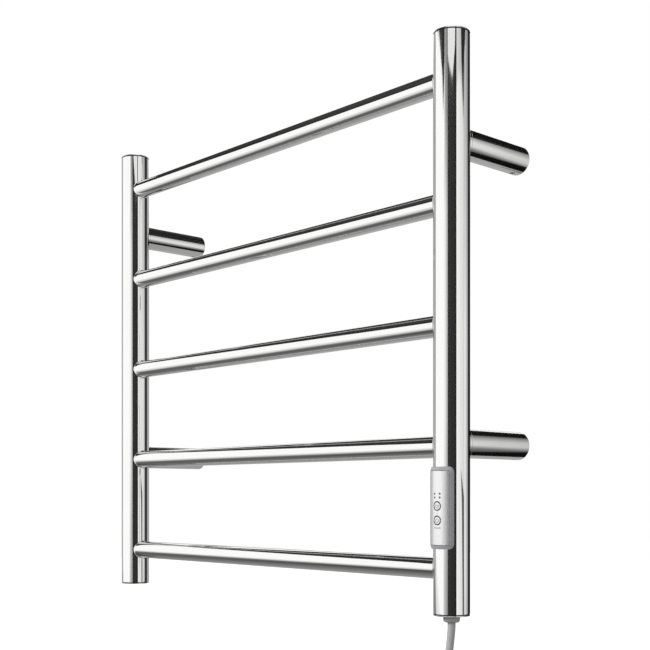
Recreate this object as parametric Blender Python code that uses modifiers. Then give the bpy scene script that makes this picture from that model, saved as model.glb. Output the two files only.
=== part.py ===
"""Electric ladder towel warmer: two steel posts, five rungs, four wall standoffs, a control
unit let into the right post, the heating cable inside, and a mains cord with its plug.

Metres, +Z up, +Y towards the wall, +X to the right seen from the room. The origin is on the
wall, at the centre of the four standoffs.
"""
import math

import bmesh
import bpy
from mathutils import Matrix, Vector

MM = 0.001
GAP = 0.3 * MM  # between pieces that touch

# Frame
POST_SPACING = 491 * MM  # between the axes of the posts
POST_R = 15.9 * MM
POST_WALL = 1.2 * MM
POST_HEIGHT = 500 * MM
POST_TO_WALL = 92.5 * MM  # from a post's axis to the wall
RUNG_R = 9.5 * MM
RUNG_WALL = 1.0 * MM
RUNG_COUNT = 5
RUNG_PITCH = 105 * MM
END_MARGIN = 40 * MM  # from the first rung's axis to the top of a post
RUNG_END = 11 * MM  # from a post's axis to the end of a rung inside it
CAP_LIP = 1.8 * MM
CAP_SPIGOT = 10 * MM

# Standoffs, the upper pair between the first two rungs and the lower pair near the fourth
STANDOFF_SPACING = 260 * MM  # in height
STANDOFF_DROP = 52 * MM  # from the first rung to the upper pair
STANDOFF_R = 12.7 * MM
STANDOFF_BORE_R = 11.2 * MM
STANDOFF_WEB = 12 * MM  # the solid front end that the stud screws into
SADDLE_THICKNESS = 1.9 * MM  # of the saddle, from the gap round the post to its far face
SADDLE_REACH = 9 * MM  # from the post's axis, short of where the saddle's edge starts
BASE_R = 10.9 * MM
BASE_LENGTH = 18 * MM
GRUB_TO_WALL = 10 * MM
GRUB_R = 2.5 * MM
STUD_R = 4 * MM
STUD_HEAD_R = 6 * MM

# Control unit, on the front of the right post, midway between the last two rungs
UNIT_HEIGHT = 70 * MM
UNIT_ARC = math.radians(96.8)
PLATE_HEIGHT = 63 * MM
PLATE_ARC = math.radians(68.8)
FACE_R = 18.6 * MM  # from the post's axis to the front of the unit
BUTTON_R = 3.7 * MM
BUTTON_SHOULDER = 0.6 * MM  # keeps a button behind the plate
BUTTON_BACK = 14.4 * MM  # from the post's axis, as are the next five
BUTTON_SHOULDER_FRONT = 16.3 * MM
SWITCH_AT = 11.75 * MM
PLUNGER_AT = 12.6 * MM
GUIDE_AT = 12.3 * MM
BOARD_AT = 9.25 * MM
MODULE_AT = 4.35 * MM
MODULE_HEIGHT = 63 * MM
GASKET_THICKNESS = 0.5 * MM
GASKET_INSET = math.radians(4.6)
POCKET_CLEARANCE = math.radians(1.1)
LIGHT_R = 0.65 * MM
BUTTON_PITCH = 12.2 * MM
TIMER_BUTTON_UP = 1.6 * MM  # above the unit's middle
BUTTON_TRAVEL = 0.5 * MM
LIGHTS_UP = 10.4 * MM
LIGHT_STEP_X = 5.6 * MM
LIGHT_STEP_Z = 3.2 * MM
WINDOW = (6.2 * MM, -17 * MM, 15.5 * MM)  # half width, lowest and highest from the middle

# Electrical pieces inside the tubes
CABLE_R = 2 * MM
CABLE_BACK = 6 * MM  # the cable lies this far behind the tubes' axes
CABLE_BEND = 10 * MM

# Mains cord
CORD_R = 3.5 * MM
GLAND_R = 7.25 * MM
GLAND_DROP = 5.8 * MM
HANK_R = 22 * MM  # of a fold, at the cord's centre
HANK_HALF_RUN = 46.7 * MM  # this half run makes the cord 1.5 m long
HANK_TURNS = 4
HANK_PITCH = 7.4 * MM
HANK_PINCH = 0.55  # how far the tie draws the runs together
HANK_PINCH_LENGTH = 27 * MM
TIE_HALF_WIDTH = 6 * MM
TIE_THICKNESS = 1.2 * MM

POST_X = POST_SPACING / 2
POST_Y = -POST_TO_WALL
STANDOFF_Z = STANDOFF_SPACING / 2
POST_TOP = STANDOFF_Z + STANDOFF_DROP + END_MARGIN
POST_BOTTOM = POST_TOP - POST_HEIGHT
RUNG_ZS = [POST_TOP - END_MARGIN - i * RUNG_PITCH for i in range(RUNG_COUNT)]
UNIT_Z = (RUNG_ZS[3] + RUNG_ZS[4]) / 2
POST_BORE_R = POST_R - POST_WALL
CORD_EXIT_Z = POST_BOTTOM - GLAND_DROP - GAP

# The hanging stretch: sideways from the post's axis, and height
CORD_ROUTE = [
    (0.0, CORD_EXIT_Z),
    (-0.2 * MM, -290 * MM),
    (-0.9 * MM, -296 * MM),
    (-1.8 * MM, -303 * MM),
    (-2.8 * MM, -310 * MM),
    (-3.6 * MM, -317 * MM),
    (-3.9 * MM, -323.5 * MM),
]

STEEL = ("polished_steel", (0.80, 0.80, 0.79), 0.08, 1.0)
SATIN = ("satin_steel", (0.62, 0.62, 0.61), 0.25, 1.0)
ZINC = ("zinc_steel", (0.55, 0.56, 0.57), 0.35, 1.0)
BEZEL = ("bezel_grey", (0.30, 0.30, 0.31), 0.45, 0.0)
SILVER = ("silver_plate", (0.62, 0.62, 0.63), 0.35, 0.6)
KEY = ("key_silver", (0.60, 0.60, 0.61), 0.40, 0.4)
CLEAR = ("clear_guide", (0.25, 0.26, 0.27), 0.10, 0.0)
BOARD = ("circuit_board", (0.02, 0.18, 0.07), 0.50, 0.0)
DARK = ("dark_plastic", (0.03, 0.03, 0.03), 0.50, 0.0)
SILICONE = ("silicone", (0.45, 0.12, 0.08), 0.60, 0.0)
SEAL = ("seal_rubber", (0.05, 0.05, 0.05), 0.70, 0.0)
FLEX = ("flex_grey", (0.38, 0.38, 0.38), 0.45, 0.0)
EARTH = ("earth_wire", (0.12, 0.40, 0.08), 0.50, 0.0)
BRASS = ("plug_brass", (0.75, 0.58, 0.30), 0.25, 1.0)

ALONG_X = Matrix.Rotation(math.pi / 2, 4, "Y")
ALONG_Y = Matrix.Rotation(-math.pi / 2, 4, "X")
ALONG_Z = Matrix.Identity(4)
UPSIDE_DOWN = Matrix.Rotation(math.pi, 4, "X")


def clear_scene():
    for obj in list(bpy.data.objects):
        bpy.data.objects.remove(obj, do_unlink=True)


def collection(name):
    made = bpy.data.collections.new(name)
    bpy.context.scene.collection.children.link(made)
    return made


clear_scene()
PARTS = collection("towel_warmer")
CUTTERS = collection("cutters")


def material(look):
    name, colour, roughness, metallic = look
    found = bpy.data.materials.get(name)
    if found:
        return found
    made = bpy.data.materials.new(name)
    made.use_nodes = True
    shader = made.node_tree.nodes["Principled BSDF"]
    shader.inputs["Base Color"].default_value = (*colour, 1.0)
    shader.inputs["Roughness"].default_value = roughness
    shader.inputs["Metallic"].default_value = metallic
    made.diffuse_color = (*colour, 1.0)
    return made


def place(name, data, centre, turn=ALONG_Z, look=None):
    """Put mesh or curve data in the scene: a part if it has a look, and otherwise a cutter."""
    obj = bpy.data.objects.new(name, data)
    obj.matrix_world = Matrix.Translation(Vector(centre)) @ turn
    if look:
        PARTS.objects.link(obj)
        obj.data.materials.append(material(look))
    else:
        CUTTERS.objects.link(obj)
        obj.hide_render = True
        obj.display_type = "WIRE"
    return obj


def mesh_from(name, bm, smooth=True):
    mesh = bpy.data.meshes.new(name)
    bm.to_mesh(mesh)
    bm.free()
    if smooth:
        mesh.shade_smooth()
        mesh.set_sharp_from_angle(angle=math.radians(35))
    return mesh


def rod(name, radius, length, centre, turn=ALONG_Z, look=None, sides=32, bevel=0.0):
    bm = bmesh.new()
    bmesh.ops.create_cone(bm, cap_ends=True, segments=sides, radius1=radius, radius2=radius, depth=length)
    obj = place(name, mesh_from(name, bm), centre, turn, look)
    if bevel:
        soften(obj, bevel)
    return obj


def pipe(name, radius, wall, length, centre, turn, look, sides):
    """A tube, open at both ends."""
    bm = bmesh.new()
    bmesh.ops.create_cone(bm, cap_ends=False, segments=sides, radius1=radius, radius2=radius, depth=length)
    obj = place(name, mesh_from(name, bm), centre, turn, look)
    shell = obj.modifiers.new("wall", "SOLIDIFY")
    shell.thickness = wall
    shell.offset = -1
    shell.use_even_offset = True
    return obj


def box(name, size, centre, look=None, bevel=0.0):
    bm = bmesh.new()
    bmesh.ops.create_cube(bm, size=1.0)
    bmesh.ops.scale(bm, vec=size, verts=bm.verts)
    obj = place(name, mesh_from(name, bm, smooth=False), centre, ALONG_Z, look)
    if bevel:
        soften(obj, bevel)
    return obj


def turned(name, profile, centre, turn=ALONG_Z, look=None, sides=40):
    """A turned piece from (radius, height) points that run down its outer side."""
    bm = bmesh.new()
    points = [bm.verts.new((radius, 0, height)) for radius, height in profile]
    for start, end in zip(points, points[1:]):
        bm.edges.new((start, end))
    if profile[0][0] > 0:  # a ring's profile closes on itself
        bm.edges.new((points[-1], points[0]))
    mesh = bpy.data.meshes.new(name)
    bm.to_mesh(mesh)
    bm.free()
    obj = place(name, mesh, centre, turn, look)
    screw = obj.modifiers.new("turn", "SCREW")
    screw.steps = screw.render_steps = sides
    screw.use_merge_vertices = True
    screw.merge_threshold = 0.00001
    return obj


def soften(obj, width, segments=2):
    edge = obj.modifiers.new("edge", "BEVEL")
    edge.width = width
    edge.segments = segments
    edge.limit_method = "ANGLE"
    edge.angle_limit = math.radians(40)


def combine(obj, other, operation):
    step = obj.modifiers.new(operation.lower(), "BOOLEAN")
    step.operation = operation
    step.solver = "EXACT"
    step.object = other


def cut(obj, *cutters):
    for cutter in cutters:
        combine(obj, cutter, "DIFFERENCE")


def fuse(obj, *others):
    for other in others:
        combine(obj, other, "UNION")


def wire(name, radius, points, look):
    curve = bpy.data.curves.new(name, "CURVE")
    curve.dimensions = "3D"
    curve.bevel_depth = radius
    curve.bevel_resolution = 2
    curve.use_fill_caps = True
    spline = curve.splines.new("POLY")
    spline.points.add(len(points) - 1)
    for point, where in zip(spline.points, points):
        point.co = (*where, 1.0)
    return place(name, curve, (0, 0, 0), ALONG_Z, look)


def rounded(corners, radius, steps=4):
    """The points of a path through corners, each corner turned as an arc."""
    corners = [Vector(c) for c in corners]
    points = [corners[0]]
    for before, corner, after in zip(corners, corners[1:], corners[2:]):
        back = (before - corner).normalized()
        ahead = (after - corner).normalized()
        half = back.angle(ahead) / 2
        reach = radius / math.tan(half)
        centre = corner + (back + ahead).normalized() * radius / math.sin(half)
        start = (corner + back * reach - centre).normalized()
        end = (corner + ahead * reach - centre).normalized()
        for step in range(steps + 1):
            points.append(centre + radius * start.slerp(end, step / steps))
    return points + [corners[-1]]


def smooth_route(points, between=1):
    """A smooth curve through the points of a route, with some points added in each stretch."""
    points = [Vector(p) for p in points]
    padded = [2 * points[0] - points[1], *points, 2 * points[-1] - points[-2]]
    out = []
    for a, b, c, d in zip(padded, padded[1:], padded[2:], padded[3:]):
        for step in range(between + 1):
            t = step / (between + 1)
            square, cube = 2 * a - 5 * b + 4 * c - d, 3 * b - a - 3 * c + d
            out.append(0.5 * (2 * b + (c - a) * t + square * t**2 + cube * t**3))
    return out + [points[-1]]


def curved_slab(name, half_angle, half_height, corner, inner_r, outer_r, slope, look=None):
    """A rounded slab wrapped round the right post, its sides sloping in by slope."""
    half_width = half_angle * FACE_R
    bm = bmesh.new()
    bmesh.ops.create_grid(bm, x_segments=1, y_segments=1, size=1.0)
    bmesh.ops.scale(bm, vec=(half_width, half_height, 1), verts=bm.verts)
    bmesh.ops.bevel(
        bm, geom=bm.verts[:], offset=corner, segments=4, profile=0.5, affect="VERTICES", material=-1
    )
    rim = (outer_r - inner_r) * 0.3 if slope else outer_r - inner_r
    sheet = bm.faces[:]
    raised = bmesh.ops.extrude_face_region(bm, geom=sheet)["geom"]
    lifted = [item for item in raised if isinstance(item, bmesh.types.BMVert)]
    bmesh.ops.translate(bm, vec=(0, 0, rim), verts=lifted)
    if slope:
        top = [item for item in raised if isinstance(item, bmesh.types.BMFace)]
        bmesh.ops.inset_region(bm, faces=top, thickness=slope, use_even_offset=True)
        bmesh.ops.translate(
            bm, vec=(0, 0, outer_r - inner_r - rim), verts=list({v for f in top for v in f.verts})
        )
    columns = 14
    for i in range(1, columns):
        middle = half_width * (2 * i / columns - 1)
        bmesh.ops.bisect_plane(
            bm, geom=bm.verts[:] + bm.edges[:] + bm.faces[:], plane_co=(middle, 0, 0), plane_no=(1, 0, 0)
        )
    for vert in bm.verts:
        angle = vert.co.x / FACE_R
        radius = inner_r + vert.co.z
        vert.co = (radius * math.sin(angle), -radius * math.cos(angle), vert.co.y)
    bmesh.ops.recalc_face_normals(bm, faces=bm.faces)
    return place(name, mesh_from(name, bm), (POST_X, POST_Y, UNIT_Z), ALONG_Z, look)


def at_post(x, y, z):
    """A point given from the right post's axis."""
    return (POST_X + x, POST_Y + y, z)


def make_posts():
    length = POST_HEIGHT - 2 * (CAP_LIP + GAP)
    for side, name in ((-1, "left_post"), (1, "right_post")):
        x = side * POST_X
        middle = (x, POST_Y, POST_TOP - POST_HEIGHT / 2)
        post = pipe(name, POST_R, POST_WALL, length, middle, ALONG_Z, STEEL, 40)
        for i, z in enumerate(RUNG_ZS):
            inner_side, deep = (x - side * POST_R, POST_Y, z), 2 * POST_R - 2 * MM
            cut(post, rod(f"rung_hole_{i + 1}", RUNG_R + GAP, deep, inner_side, ALONG_X, sides=28))
        for level, z in (("upper", STANDOFF_Z), ("lower", -STANDOFF_Z)):
            rear = (x, POST_Y + POST_R, z)
            cut(post, rod(f"{level}_hole", STUD_R + GAP, POST_R, rear, ALONG_Y, sides=16))
    half_width, low, high = WINDOW
    size = (2 * half_width, POST_R, high - low)
    cut(post, box("post_window", size, at_post(0, -POST_R, UNIT_Z + (low + high) / 2)))


def make_rungs():
    length = POST_SPACING - 2 * RUNG_END
    for i, z in enumerate(RUNG_ZS):
        pipe(f"rung_{i + 1}", RUNG_R, RUNG_WALL, length, (0, POST_Y, z), ALONG_X, STEEL, 28)


def make_caps():
    edge = 0.5 * MM
    spigot_r = POST_BORE_R - GAP
    cup_r = spigot_r - 1.2 * MM
    profile = [(0, 0), (POST_R - edge, 0)]
    profile += [(POST_R, -edge), (POST_R, -CAP_LIP), (spigot_r, -CAP_LIP), (spigot_r, -CAP_SPIGOT)]
    profile += [(cup_r, -CAP_SPIGOT), (cup_r, -CAP_LIP), (0, -CAP_LIP)]
    for side, word in ((-1, "left"), (1, "right")):
        x = side * POST_X
        turned(f"{word}_top_cap", profile, (x, POST_Y, POST_TOP), ALONG_Z, STEEL, 40)
        cap = turned(f"{word}_bottom_cap", profile, (x, POST_Y, POST_BOTTOM), UPSIDE_DOWN, STEEL, 40)
    cut(cap, rod("gland_hole", 6.3 * MM, 3 * CAP_LIP, (POST_X, POST_Y, POST_BOTTOM)))


def make_standoff(word, x, z, head_back):
    """One standoff; its turned pieces are drawn from the wall, with height towards the room."""
    wall_end = GAP
    front = POST_TO_WALL - SADDLE_REACH
    web = POST_TO_WALL - POST_R - SADDLE_THICKNESS - GAP - STANDOFF_WEB
    saddle_r = POST_R + SADDLE_THICKNESS
    edge = 0.6 * MM
    hole_r = STUD_R + GAP
    to_room = Matrix.Rotation(math.pi / 2, 4, "X")
    sleeve = turned(
        f"{word}_standoff",
        [
            (hole_r, front),
            (STANDOFF_R, front),
            (STANDOFF_R, wall_end + edge),
            (STANDOFF_R - edge, wall_end),
            (STANDOFF_BORE_R, wall_end),
            (STANDOFF_BORE_R, web),
            (hole_r, web),
        ],
        (x, 0, z),
        to_room,
        SATIN,
        32,
    )
    cut(sleeve, rod(f"{word}_cope", saddle_r + GAP, 4 * STANDOFF_R, (x, POST_Y, z), sides=40))
    grub_y = -GRUB_TO_WALL
    cut(sleeve, rod(f"{word}_grub_hole", GRUB_R + GAP, STANDOFF_R, (x, grub_y, z - STANDOFF_R), sides=20))

    saddle = turned(
        f"{word}_saddle",
        [
            (hole_r, front),
            (STANDOFF_R, front),
            (STANDOFF_R, POST_TO_WALL - saddle_r - GAP),
            (hole_r, POST_TO_WALL - saddle_r - GAP),
        ],
        (x, 0, z),
        to_room,
        SATIN,
        32,
    )
    outside = rod(f"{word}_saddle_outside", saddle_r, 4 * STANDOFF_R, (x, POST_Y, z), sides=40)
    combine(saddle, outside, "INTERSECT")
    cut(saddle, rod(f"{word}_saddle_seat", POST_R + GAP, 4 * STANDOFF_R, (x, POST_Y, z), sides=40))

    stud_start = POST_TO_WALL - 13.1 * MM + head_back
    head = 2.8 * MM
    turned(
        f"{word}_stud",
        [
            (0, stud_start + head),
            (STUD_HEAD_R, stud_start + head),
            (STUD_HEAD_R, stud_start),
            (STUD_R, stud_start),
            (STUD_R, web + 2 * MM),
            (STUD_R - 0.8 * MM, web + 1.2 * MM),
            (0, web + 1.2 * MM),
        ],
        (x, 0, z),
        to_room,
        ZINC,
        16,
    )

    screw_r = 2.75 * MM
    groove_r = BASE_R - 2.3 * MM
    turned(
        f"{word}_wall_base",
        [
            (screw_r, BASE_LENGTH - 3 * MM),
            (5.5 * MM, BASE_LENGTH),
            (BASE_R - 1 * MM, BASE_LENGTH),
            (BASE_R, BASE_LENGTH - 1 * MM),
            (BASE_R, GRUB_TO_WALL + 5 * MM),
            (groove_r, GRUB_TO_WALL + 3 * MM),
            (groove_r, GRUB_TO_WALL - 3 * MM),
            (BASE_R, GRUB_TO_WALL - 5 * MM),
            (BASE_R, 0),
            (screw_r, 0),
        ],
        (x, 0, z),
        to_room,
        ZINC,
        24,
    )

    tip, end = groove_r + GAP, STANDOFF_R - 0.7 * MM
    grub = rod(f"{word}_grub_screw", GRUB_R, end - tip, (x, grub_y, z - (tip + end) / 2), ALONG_Z, ZINC, 20)
    cut(grub, rod(f"{word}_hex_recess", 1.3 * MM, 3.6 * MM, (x, grub_y, z - end), sides=6))


def make_standoffs():
    for side, across in ((-1, "left"), (1, "right")):
        for up, level in ((1, "upper"), (-1, "lower")):
            earthed = side > 0 and up < 0
            make_standoff(f"{level}_{across}", side * POST_X, up * STANDOFF_Z, 1.3 * MM if earthed else 0.0)


def make_control_unit():
    slope = 3.4 * MM
    gasket_r = POST_R + GAP
    gasket_face = gasket_r + GASKET_THICKNESS
    bezel_r = gasket_face + GAP
    half_width, low, high = WINDOW
    slot_size = (2 * half_width, 8 * MM, high - low)
    slot_at = at_post(0, -FACE_R, UNIT_Z + (low + high) / 2)
    slot = box("unit_slot", slot_size, slot_at)

    half_arc, half_height = UNIT_ARC / 2 - GASKET_INSET, UNIT_HEIGHT / 2 - 1.5 * MM
    gasket = curved_slab(
        "control_gasket", half_arc, half_height, 3.5 * MM, gasket_r, gasket_face, 0, SEAL
    )
    half_arc, half_height = UNIT_ARC / 2, UNIT_HEIGHT / 2
    bezel = curved_slab(
        "control_bezel", half_arc, half_height, 5 * MM, bezel_r, FACE_R, slope, BEZEL
    )
    plate_r = FACE_R - 1.0 * MM
    half_arc, half_height = PLATE_ARC / 2 + POCKET_CLEARANCE, PLATE_HEIGHT / 2 + GAP
    pocket = curved_slab(
        "plate_pocket", half_arc, half_height, 1.2 * MM, plate_r - GAP, FACE_R + 3 * MM, 0
    )
    cut(bezel, pocket, slot)
    cut(gasket, slot)
    plate = curved_slab(
        "control_plate", PLATE_ARC / 2, PLATE_HEIGHT / 2, 1.0 * MM, plate_r, FACE_R + 0.1 * MM, 0, SILVER
    )

    front = rod("key_face", FACE_R + 0.2 * MM, UNIT_HEIGHT, at_post(0, 0, UNIT_Z), sides=80)
    shoulder_r = BUTTON_R + BUTTON_SHOULDER
    for word, up in (("timer", TIMER_BUTTON_UP), ("power", TIMER_BUTTON_UP - BUTTON_PITCH)):
        z = UNIT_Z + up
        key = turned(
            f"{word}_button",
            [
                (0, FACE_R + 1 * MM),
                (BUTTON_R, FACE_R + 1 * MM),
                (BUTTON_R, BUTTON_SHOULDER_FRONT),
                (shoulder_r, BUTTON_SHOULDER_FRONT),
                (shoulder_r, BUTTON_BACK),
                (0, BUTTON_BACK),
            ],
            at_post(0, 0, z),
            Matrix.Rotation(math.pi / 2, 4, "X"),
            KEY,
            28,
        )
        combine(key, front, "INTERSECT")
        hole_r, face = BUTTON_R + GAP, at_post(0, -FACE_R, z)
        cut(plate, rod(f"{word}_key_hole", hole_r, 8 * MM, face, ALONG_Y, sides=28))
        switch_size = (6 * MM, 2.9 * MM, 6 * MM)
        switch = box(f"{word}_switch", switch_size, at_post(0, -SWITCH_AT, z), DARK)
        plunger_at = at_post(0, -PLUNGER_AT, z)
        fuse(switch, rod(f"{word}_plunger", 1.7 * MM, 2 * MM, plunger_at, ALONG_Y, sides=16))

    guide_z = UNIT_Z + LIGHTS_UP
    guide_size = (9 * MM, 4 * MM, 6.4 * MM)
    guide = box("light_guide", guide_size, at_post(0, -GUIDE_AT, guide_z), CLEAR)
    for i, (side, up) in enumerate(((-1, -1), (-1, 1), (1, -1), (1, 1))):
        x, z = side * LIGHT_STEP_X / 2, guide_z + up * LIGHT_STEP_Z / 2
        front_y = -math.sqrt(FACE_R**2 - x**2)
        length = -13 * MM - front_y
        middle, face = at_post(x, front_y + length / 2, z), at_post(x, -FACE_R, z)
        fuse(guide, rod(f"light_{i}", LIGHT_R, length, middle, ALONG_Y, sides=12))
        cut(plate, rod(f"light_hole_{i}", LIGHT_R + GAP, 8 * MM, face, ALONG_Y, sides=12))

    board_size = (17 * MM, 1.5 * MM, 58 * MM)
    box("control_board", board_size, at_post(0, -BOARD_AT, UNIT_Z), BOARD)
    module_size = (16 * MM, 7.7 * MM, MODULE_HEIGHT)
    box("control_module", module_size, at_post(0, -MODULE_AT, UNIT_Z), DARK, 0.8 * MM)


def make_wiring():
    back = CABLE_BACK
    cutout_top, splice_top, splice_bottom = -160 * MM, -175 * MM, -200 * MM
    length = cutout_top - splice_top - GAP
    middle = at_post(0, back, cutout_top - length / 2)
    rod("thermal_cutout", 2.8 * MM, length, middle, ALONG_Z, ZINC, 20, 0.4 * MM)
    length = splice_top - splice_bottom
    middle = at_post(0, back, splice_top - length / 2)
    rod("splice_sleeve", 3.4 * MM, length, middle, ALONG_Z, SILICONE, 20, 0.6 * MM)

    module_top = UNIT_Z + MODULE_HEIGHT / 2
    wire(
        "supply_lead",
        1.2 * MM,
        rounded(
            [
                at_post(0, -5 * MM, module_top + GAP),
                at_post(0, -5 * MM, module_top + 8 * MM),
                at_post(0, back, module_top + 8 * MM),
                at_post(0, back, cutout_top + GAP),
            ],
            4 * MM,
            4,
        ),
        SILICONE,
    )

    y = POST_Y + back
    corners = [at_post(0, back, splice_bottom - GAP)]
    side = 1
    for z in reversed(RUNG_ZS):
        corners += [(side * POST_X, y, z), (-side * POST_X, y, z)]
        side = -side
    end = RUNG_ZS[0] + 15 * MM
    corners.append((side * POST_X, y, end))
    wire("heating_cable", CABLE_R, rounded(corners, CABLE_BEND), SILICONE)
    middle = (side * POST_X, y, end + GAP + 4 * MM)
    rod("cable_end_seal", 3 * MM, 8 * MM, middle, ALONG_Z, SEAL, 20, 0.6 * MM)

    wire(
        "inner_flex",
        CORD_R,
        [at_post(0, 0, POST_BOTTOM - GLAND_DROP), at_post(0, 0, UNIT_Z - MODULE_HEIGHT / 2 - GAP)],
        FLEX,
    )

    tag_z = -STANDOFF_Z
    ring_y = 12.6 * MM
    tag = rod("earth_tag", STUD_HEAD_R, 1 * MM, at_post(0, ring_y, tag_z), ALONG_Y, BRASS, 24)
    tongue = 9 * MM
    tongue_at = at_post(0, ring_y, tag_z - 5 * MM - tongue / 2)
    fuse(tag, box("earth_tongue", (4 * MM, 1 * MM, tongue), tongue_at))
    cut(tag, rod("earth_hole", STUD_R + GAP, 4 * MM, at_post(0, ring_y, tag_z), ALONG_Y, sides=24))
    wire(
        "earth_lead",
        1.2 * MM,
        rounded(
            [
                at_post(8 * MM, 8 * MM, -222 * MM),
                at_post(8 * MM, 8 * MM, -158 * MM),
                at_post(0, 12 * MM, -151 * MM),
                at_post(0, 12 * MM, tag_z - 5 * MM - tongue - GAP),
            ],
            3 * MM,
            4,
        ),
        EARTH,
    )


def make_gland():
    bore = CORD_R + GAP
    shank_r = 6 * MM
    drop = GLAND_DROP
    turned(
        "cord_gland",
        [
            (bore, 12 * MM),
            (shank_r, 12 * MM),
            (shank_r, -GAP),
            (GLAND_R, -GAP),
            (GLAND_R, -drop + 2.2 * MM),
            (GLAND_R - 0.6 * MM, -drop + 0.9 * MM),
            (GLAND_R - 1.9 * MM, -drop + 0.2 * MM),
            (GLAND_R - 3 * MM, -drop),
            (bore, -drop),
        ],
        (POST_X, POST_Y, POST_BOTTOM),
        ALONG_Z,
        FLEX,
        24,
    )
    nut_at = (POST_X, POST_Y, POST_BOTTOM + CAP_LIP + GAP + 2 * MM)
    nut = rod("gland_nut", 9.2 * MM, 4 * MM, nut_at, ALONG_Z, ZINC, 6)
    cut(nut, rod("nut_bore", shank_r + GAP, 8 * MM, (POST_X, POST_Y, POST_BOTTOM + 4 * MM), sides=32))


def hank_outline(reach):
    """The outline of the folded cord, reach outside its centre line, square where the cord
    comes in and goes out on the right."""
    points = []
    turns = 8
    for end in (-1, 1):
        for step in range(turns + 1):
            angle = math.pi / 2 * (1 + (step / turns if end > 0 else step / turns + 1))
            x = (HANK_R + reach) * math.cos(angle)
            z = end * HANK_HALF_RUN + (HANK_R + reach) * math.sin(angle)
            points.append((x, z, end))
    top = [(x, z) for x, z, end in points if end > 0]
    bottom = [(x, z) for x, z, end in points if end < 0]
    runs = 12
    heights = [HANK_HALF_RUN * (1 - 2 * i / runs) for i in range(1, runs)]
    left = [(-HANK_R * pinch(z) - reach, z) for z in heights]
    right = [(HANK_R * pinch(z) + reach, z) for z in reversed(heights)]
    corner = (HANK_R + reach, HANK_HALF_RUN + HANK_R + reach)
    return [*top, *left, *bottom, (corner[0], -corner[1]), *right, corner]


def pinch(z):
    return 1 - HANK_PINCH * math.exp(-((z / HANK_PINCH_LENGTH) ** 2))


def make_cord():
    route = [at_post(x, 0, z) for x, z in CORD_ROUTE]
    wire("cord", CORD_R, smooth_route(route), FLEX)

    run_x = POST_X + CORD_ROUTE[-1][0]
    hank_x = run_x - HANK_R
    half_height = HANK_HALF_RUN + HANK_R + CORD_R
    hank_z = CORD_ROUTE[-1][1] - GAP - half_height
    last_run = (HANK_TURNS + 0.3) * HANK_PITCH
    thickness = last_run + 2 * CORD_R
    hank_y = POST_Y + last_run / 2

    curve = bpy.data.curves.new("cord_hank", "CURVE")
    curve.dimensions = "2D"
    curve.fill_mode = "BOTH"
    curve.extrude = thickness / 2
    spline = curve.splines.new("POLY")
    outline = hank_outline(CORD_R)
    spline.points.add(len(outline) - 1)
    for point, (x, z) in zip(spline.points, outline):
        point.co = (x, z, 0, 1)
    spline.use_cyclic_u = True
    place("cord_hank", curve, (hank_x, hank_y, hank_z), Matrix.Rotation(math.pi / 2, 4, "X"), FLEX)

    half_x = HANK_R * pinch(TIE_HALF_WIDTH) + CORD_R + 2 * GAP
    half_y = thickness / 2 + GAP
    inner = (2 * half_x, 2 * half_y, 4 * TIE_HALF_WIDTH)
    outer = (2 * (half_x + TIE_THICKNESS), 2 * (half_y + TIE_THICKNESS), 2 * TIE_HALF_WIDTH)
    tie = box("cord_tie", outer, (hank_x, hank_y, hank_z), SEAL)
    cut(tie, box("tie_hole", inner, (hank_x, hank_y, hank_z)))

    make_plug(run_x, POST_Y + last_run, hank_z - half_height - GAP)


def make_plug(x, y, top):
    """A moulded plug that hangs pins down: two flat blades and a round earth pin."""
    relief, body = 16 * MM, 28 * MM
    width, depth = 24 * MM, 27 * MM
    plug = box("plug_body", (width, depth, body), (x, y, top - relief - body / 2), FLEX, 3 * MM)
    fuse(
        plug,
        turned(
            "plug_relief",
            [(0, 0), (4.6 * MM, 0), (5.2 * MM, -1 * MM), (8 * MM, -relief - 4 * MM), (0, -relief - 4 * MM)],
            (x, y, top),
            sides=24,
        ),
    )
    face = top - relief - body - GAP
    blade, pin = 17 * MM, 20 * MM
    for side, word, wide in ((-1, "neutral", 7.9 * MM), (1, "live", 6.35 * MM)):
        middle = (x + side * 6.35 * MM, y - 5.5 * MM, face - blade / 2)
        box(f"plug_{word}_blade", (1.5 * MM, wide, blade), middle, BRASS, 0.4 * MM)
    turned(
        "plug_earth_pin",
        [(0, 0), (2.4 * MM, 0), (2.4 * MM, -pin + 2 * MM), (1.4 * MM, -pin + 0.4 * MM), (0, -pin)],
        (x, y + 6.4 * MM, face),
        look=BRASS,
        sides=20,
    )


make_posts()
make_rungs()
make_caps()
make_standoffs()
make_control_unit()
make_wiring()
make_gland()
make_cord()
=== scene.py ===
"""Electric ladder towel warmer: two polished posts, five rungs, four wall standoffs, a control
unit let into the right post, and a mains flex folded into a hank below its plug.

Metres, +Z up, +Y towards the wall, +X to the right seen from the room. The origin is on the
wall, at the centre of the four standoffs.
"""

import logging
import math
from collections.abc import Iterable, Sequence
from dataclasses import dataclass, field
from enum import Enum

import bmesh
import bpy
from mathutils import Matrix, Vector


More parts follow.
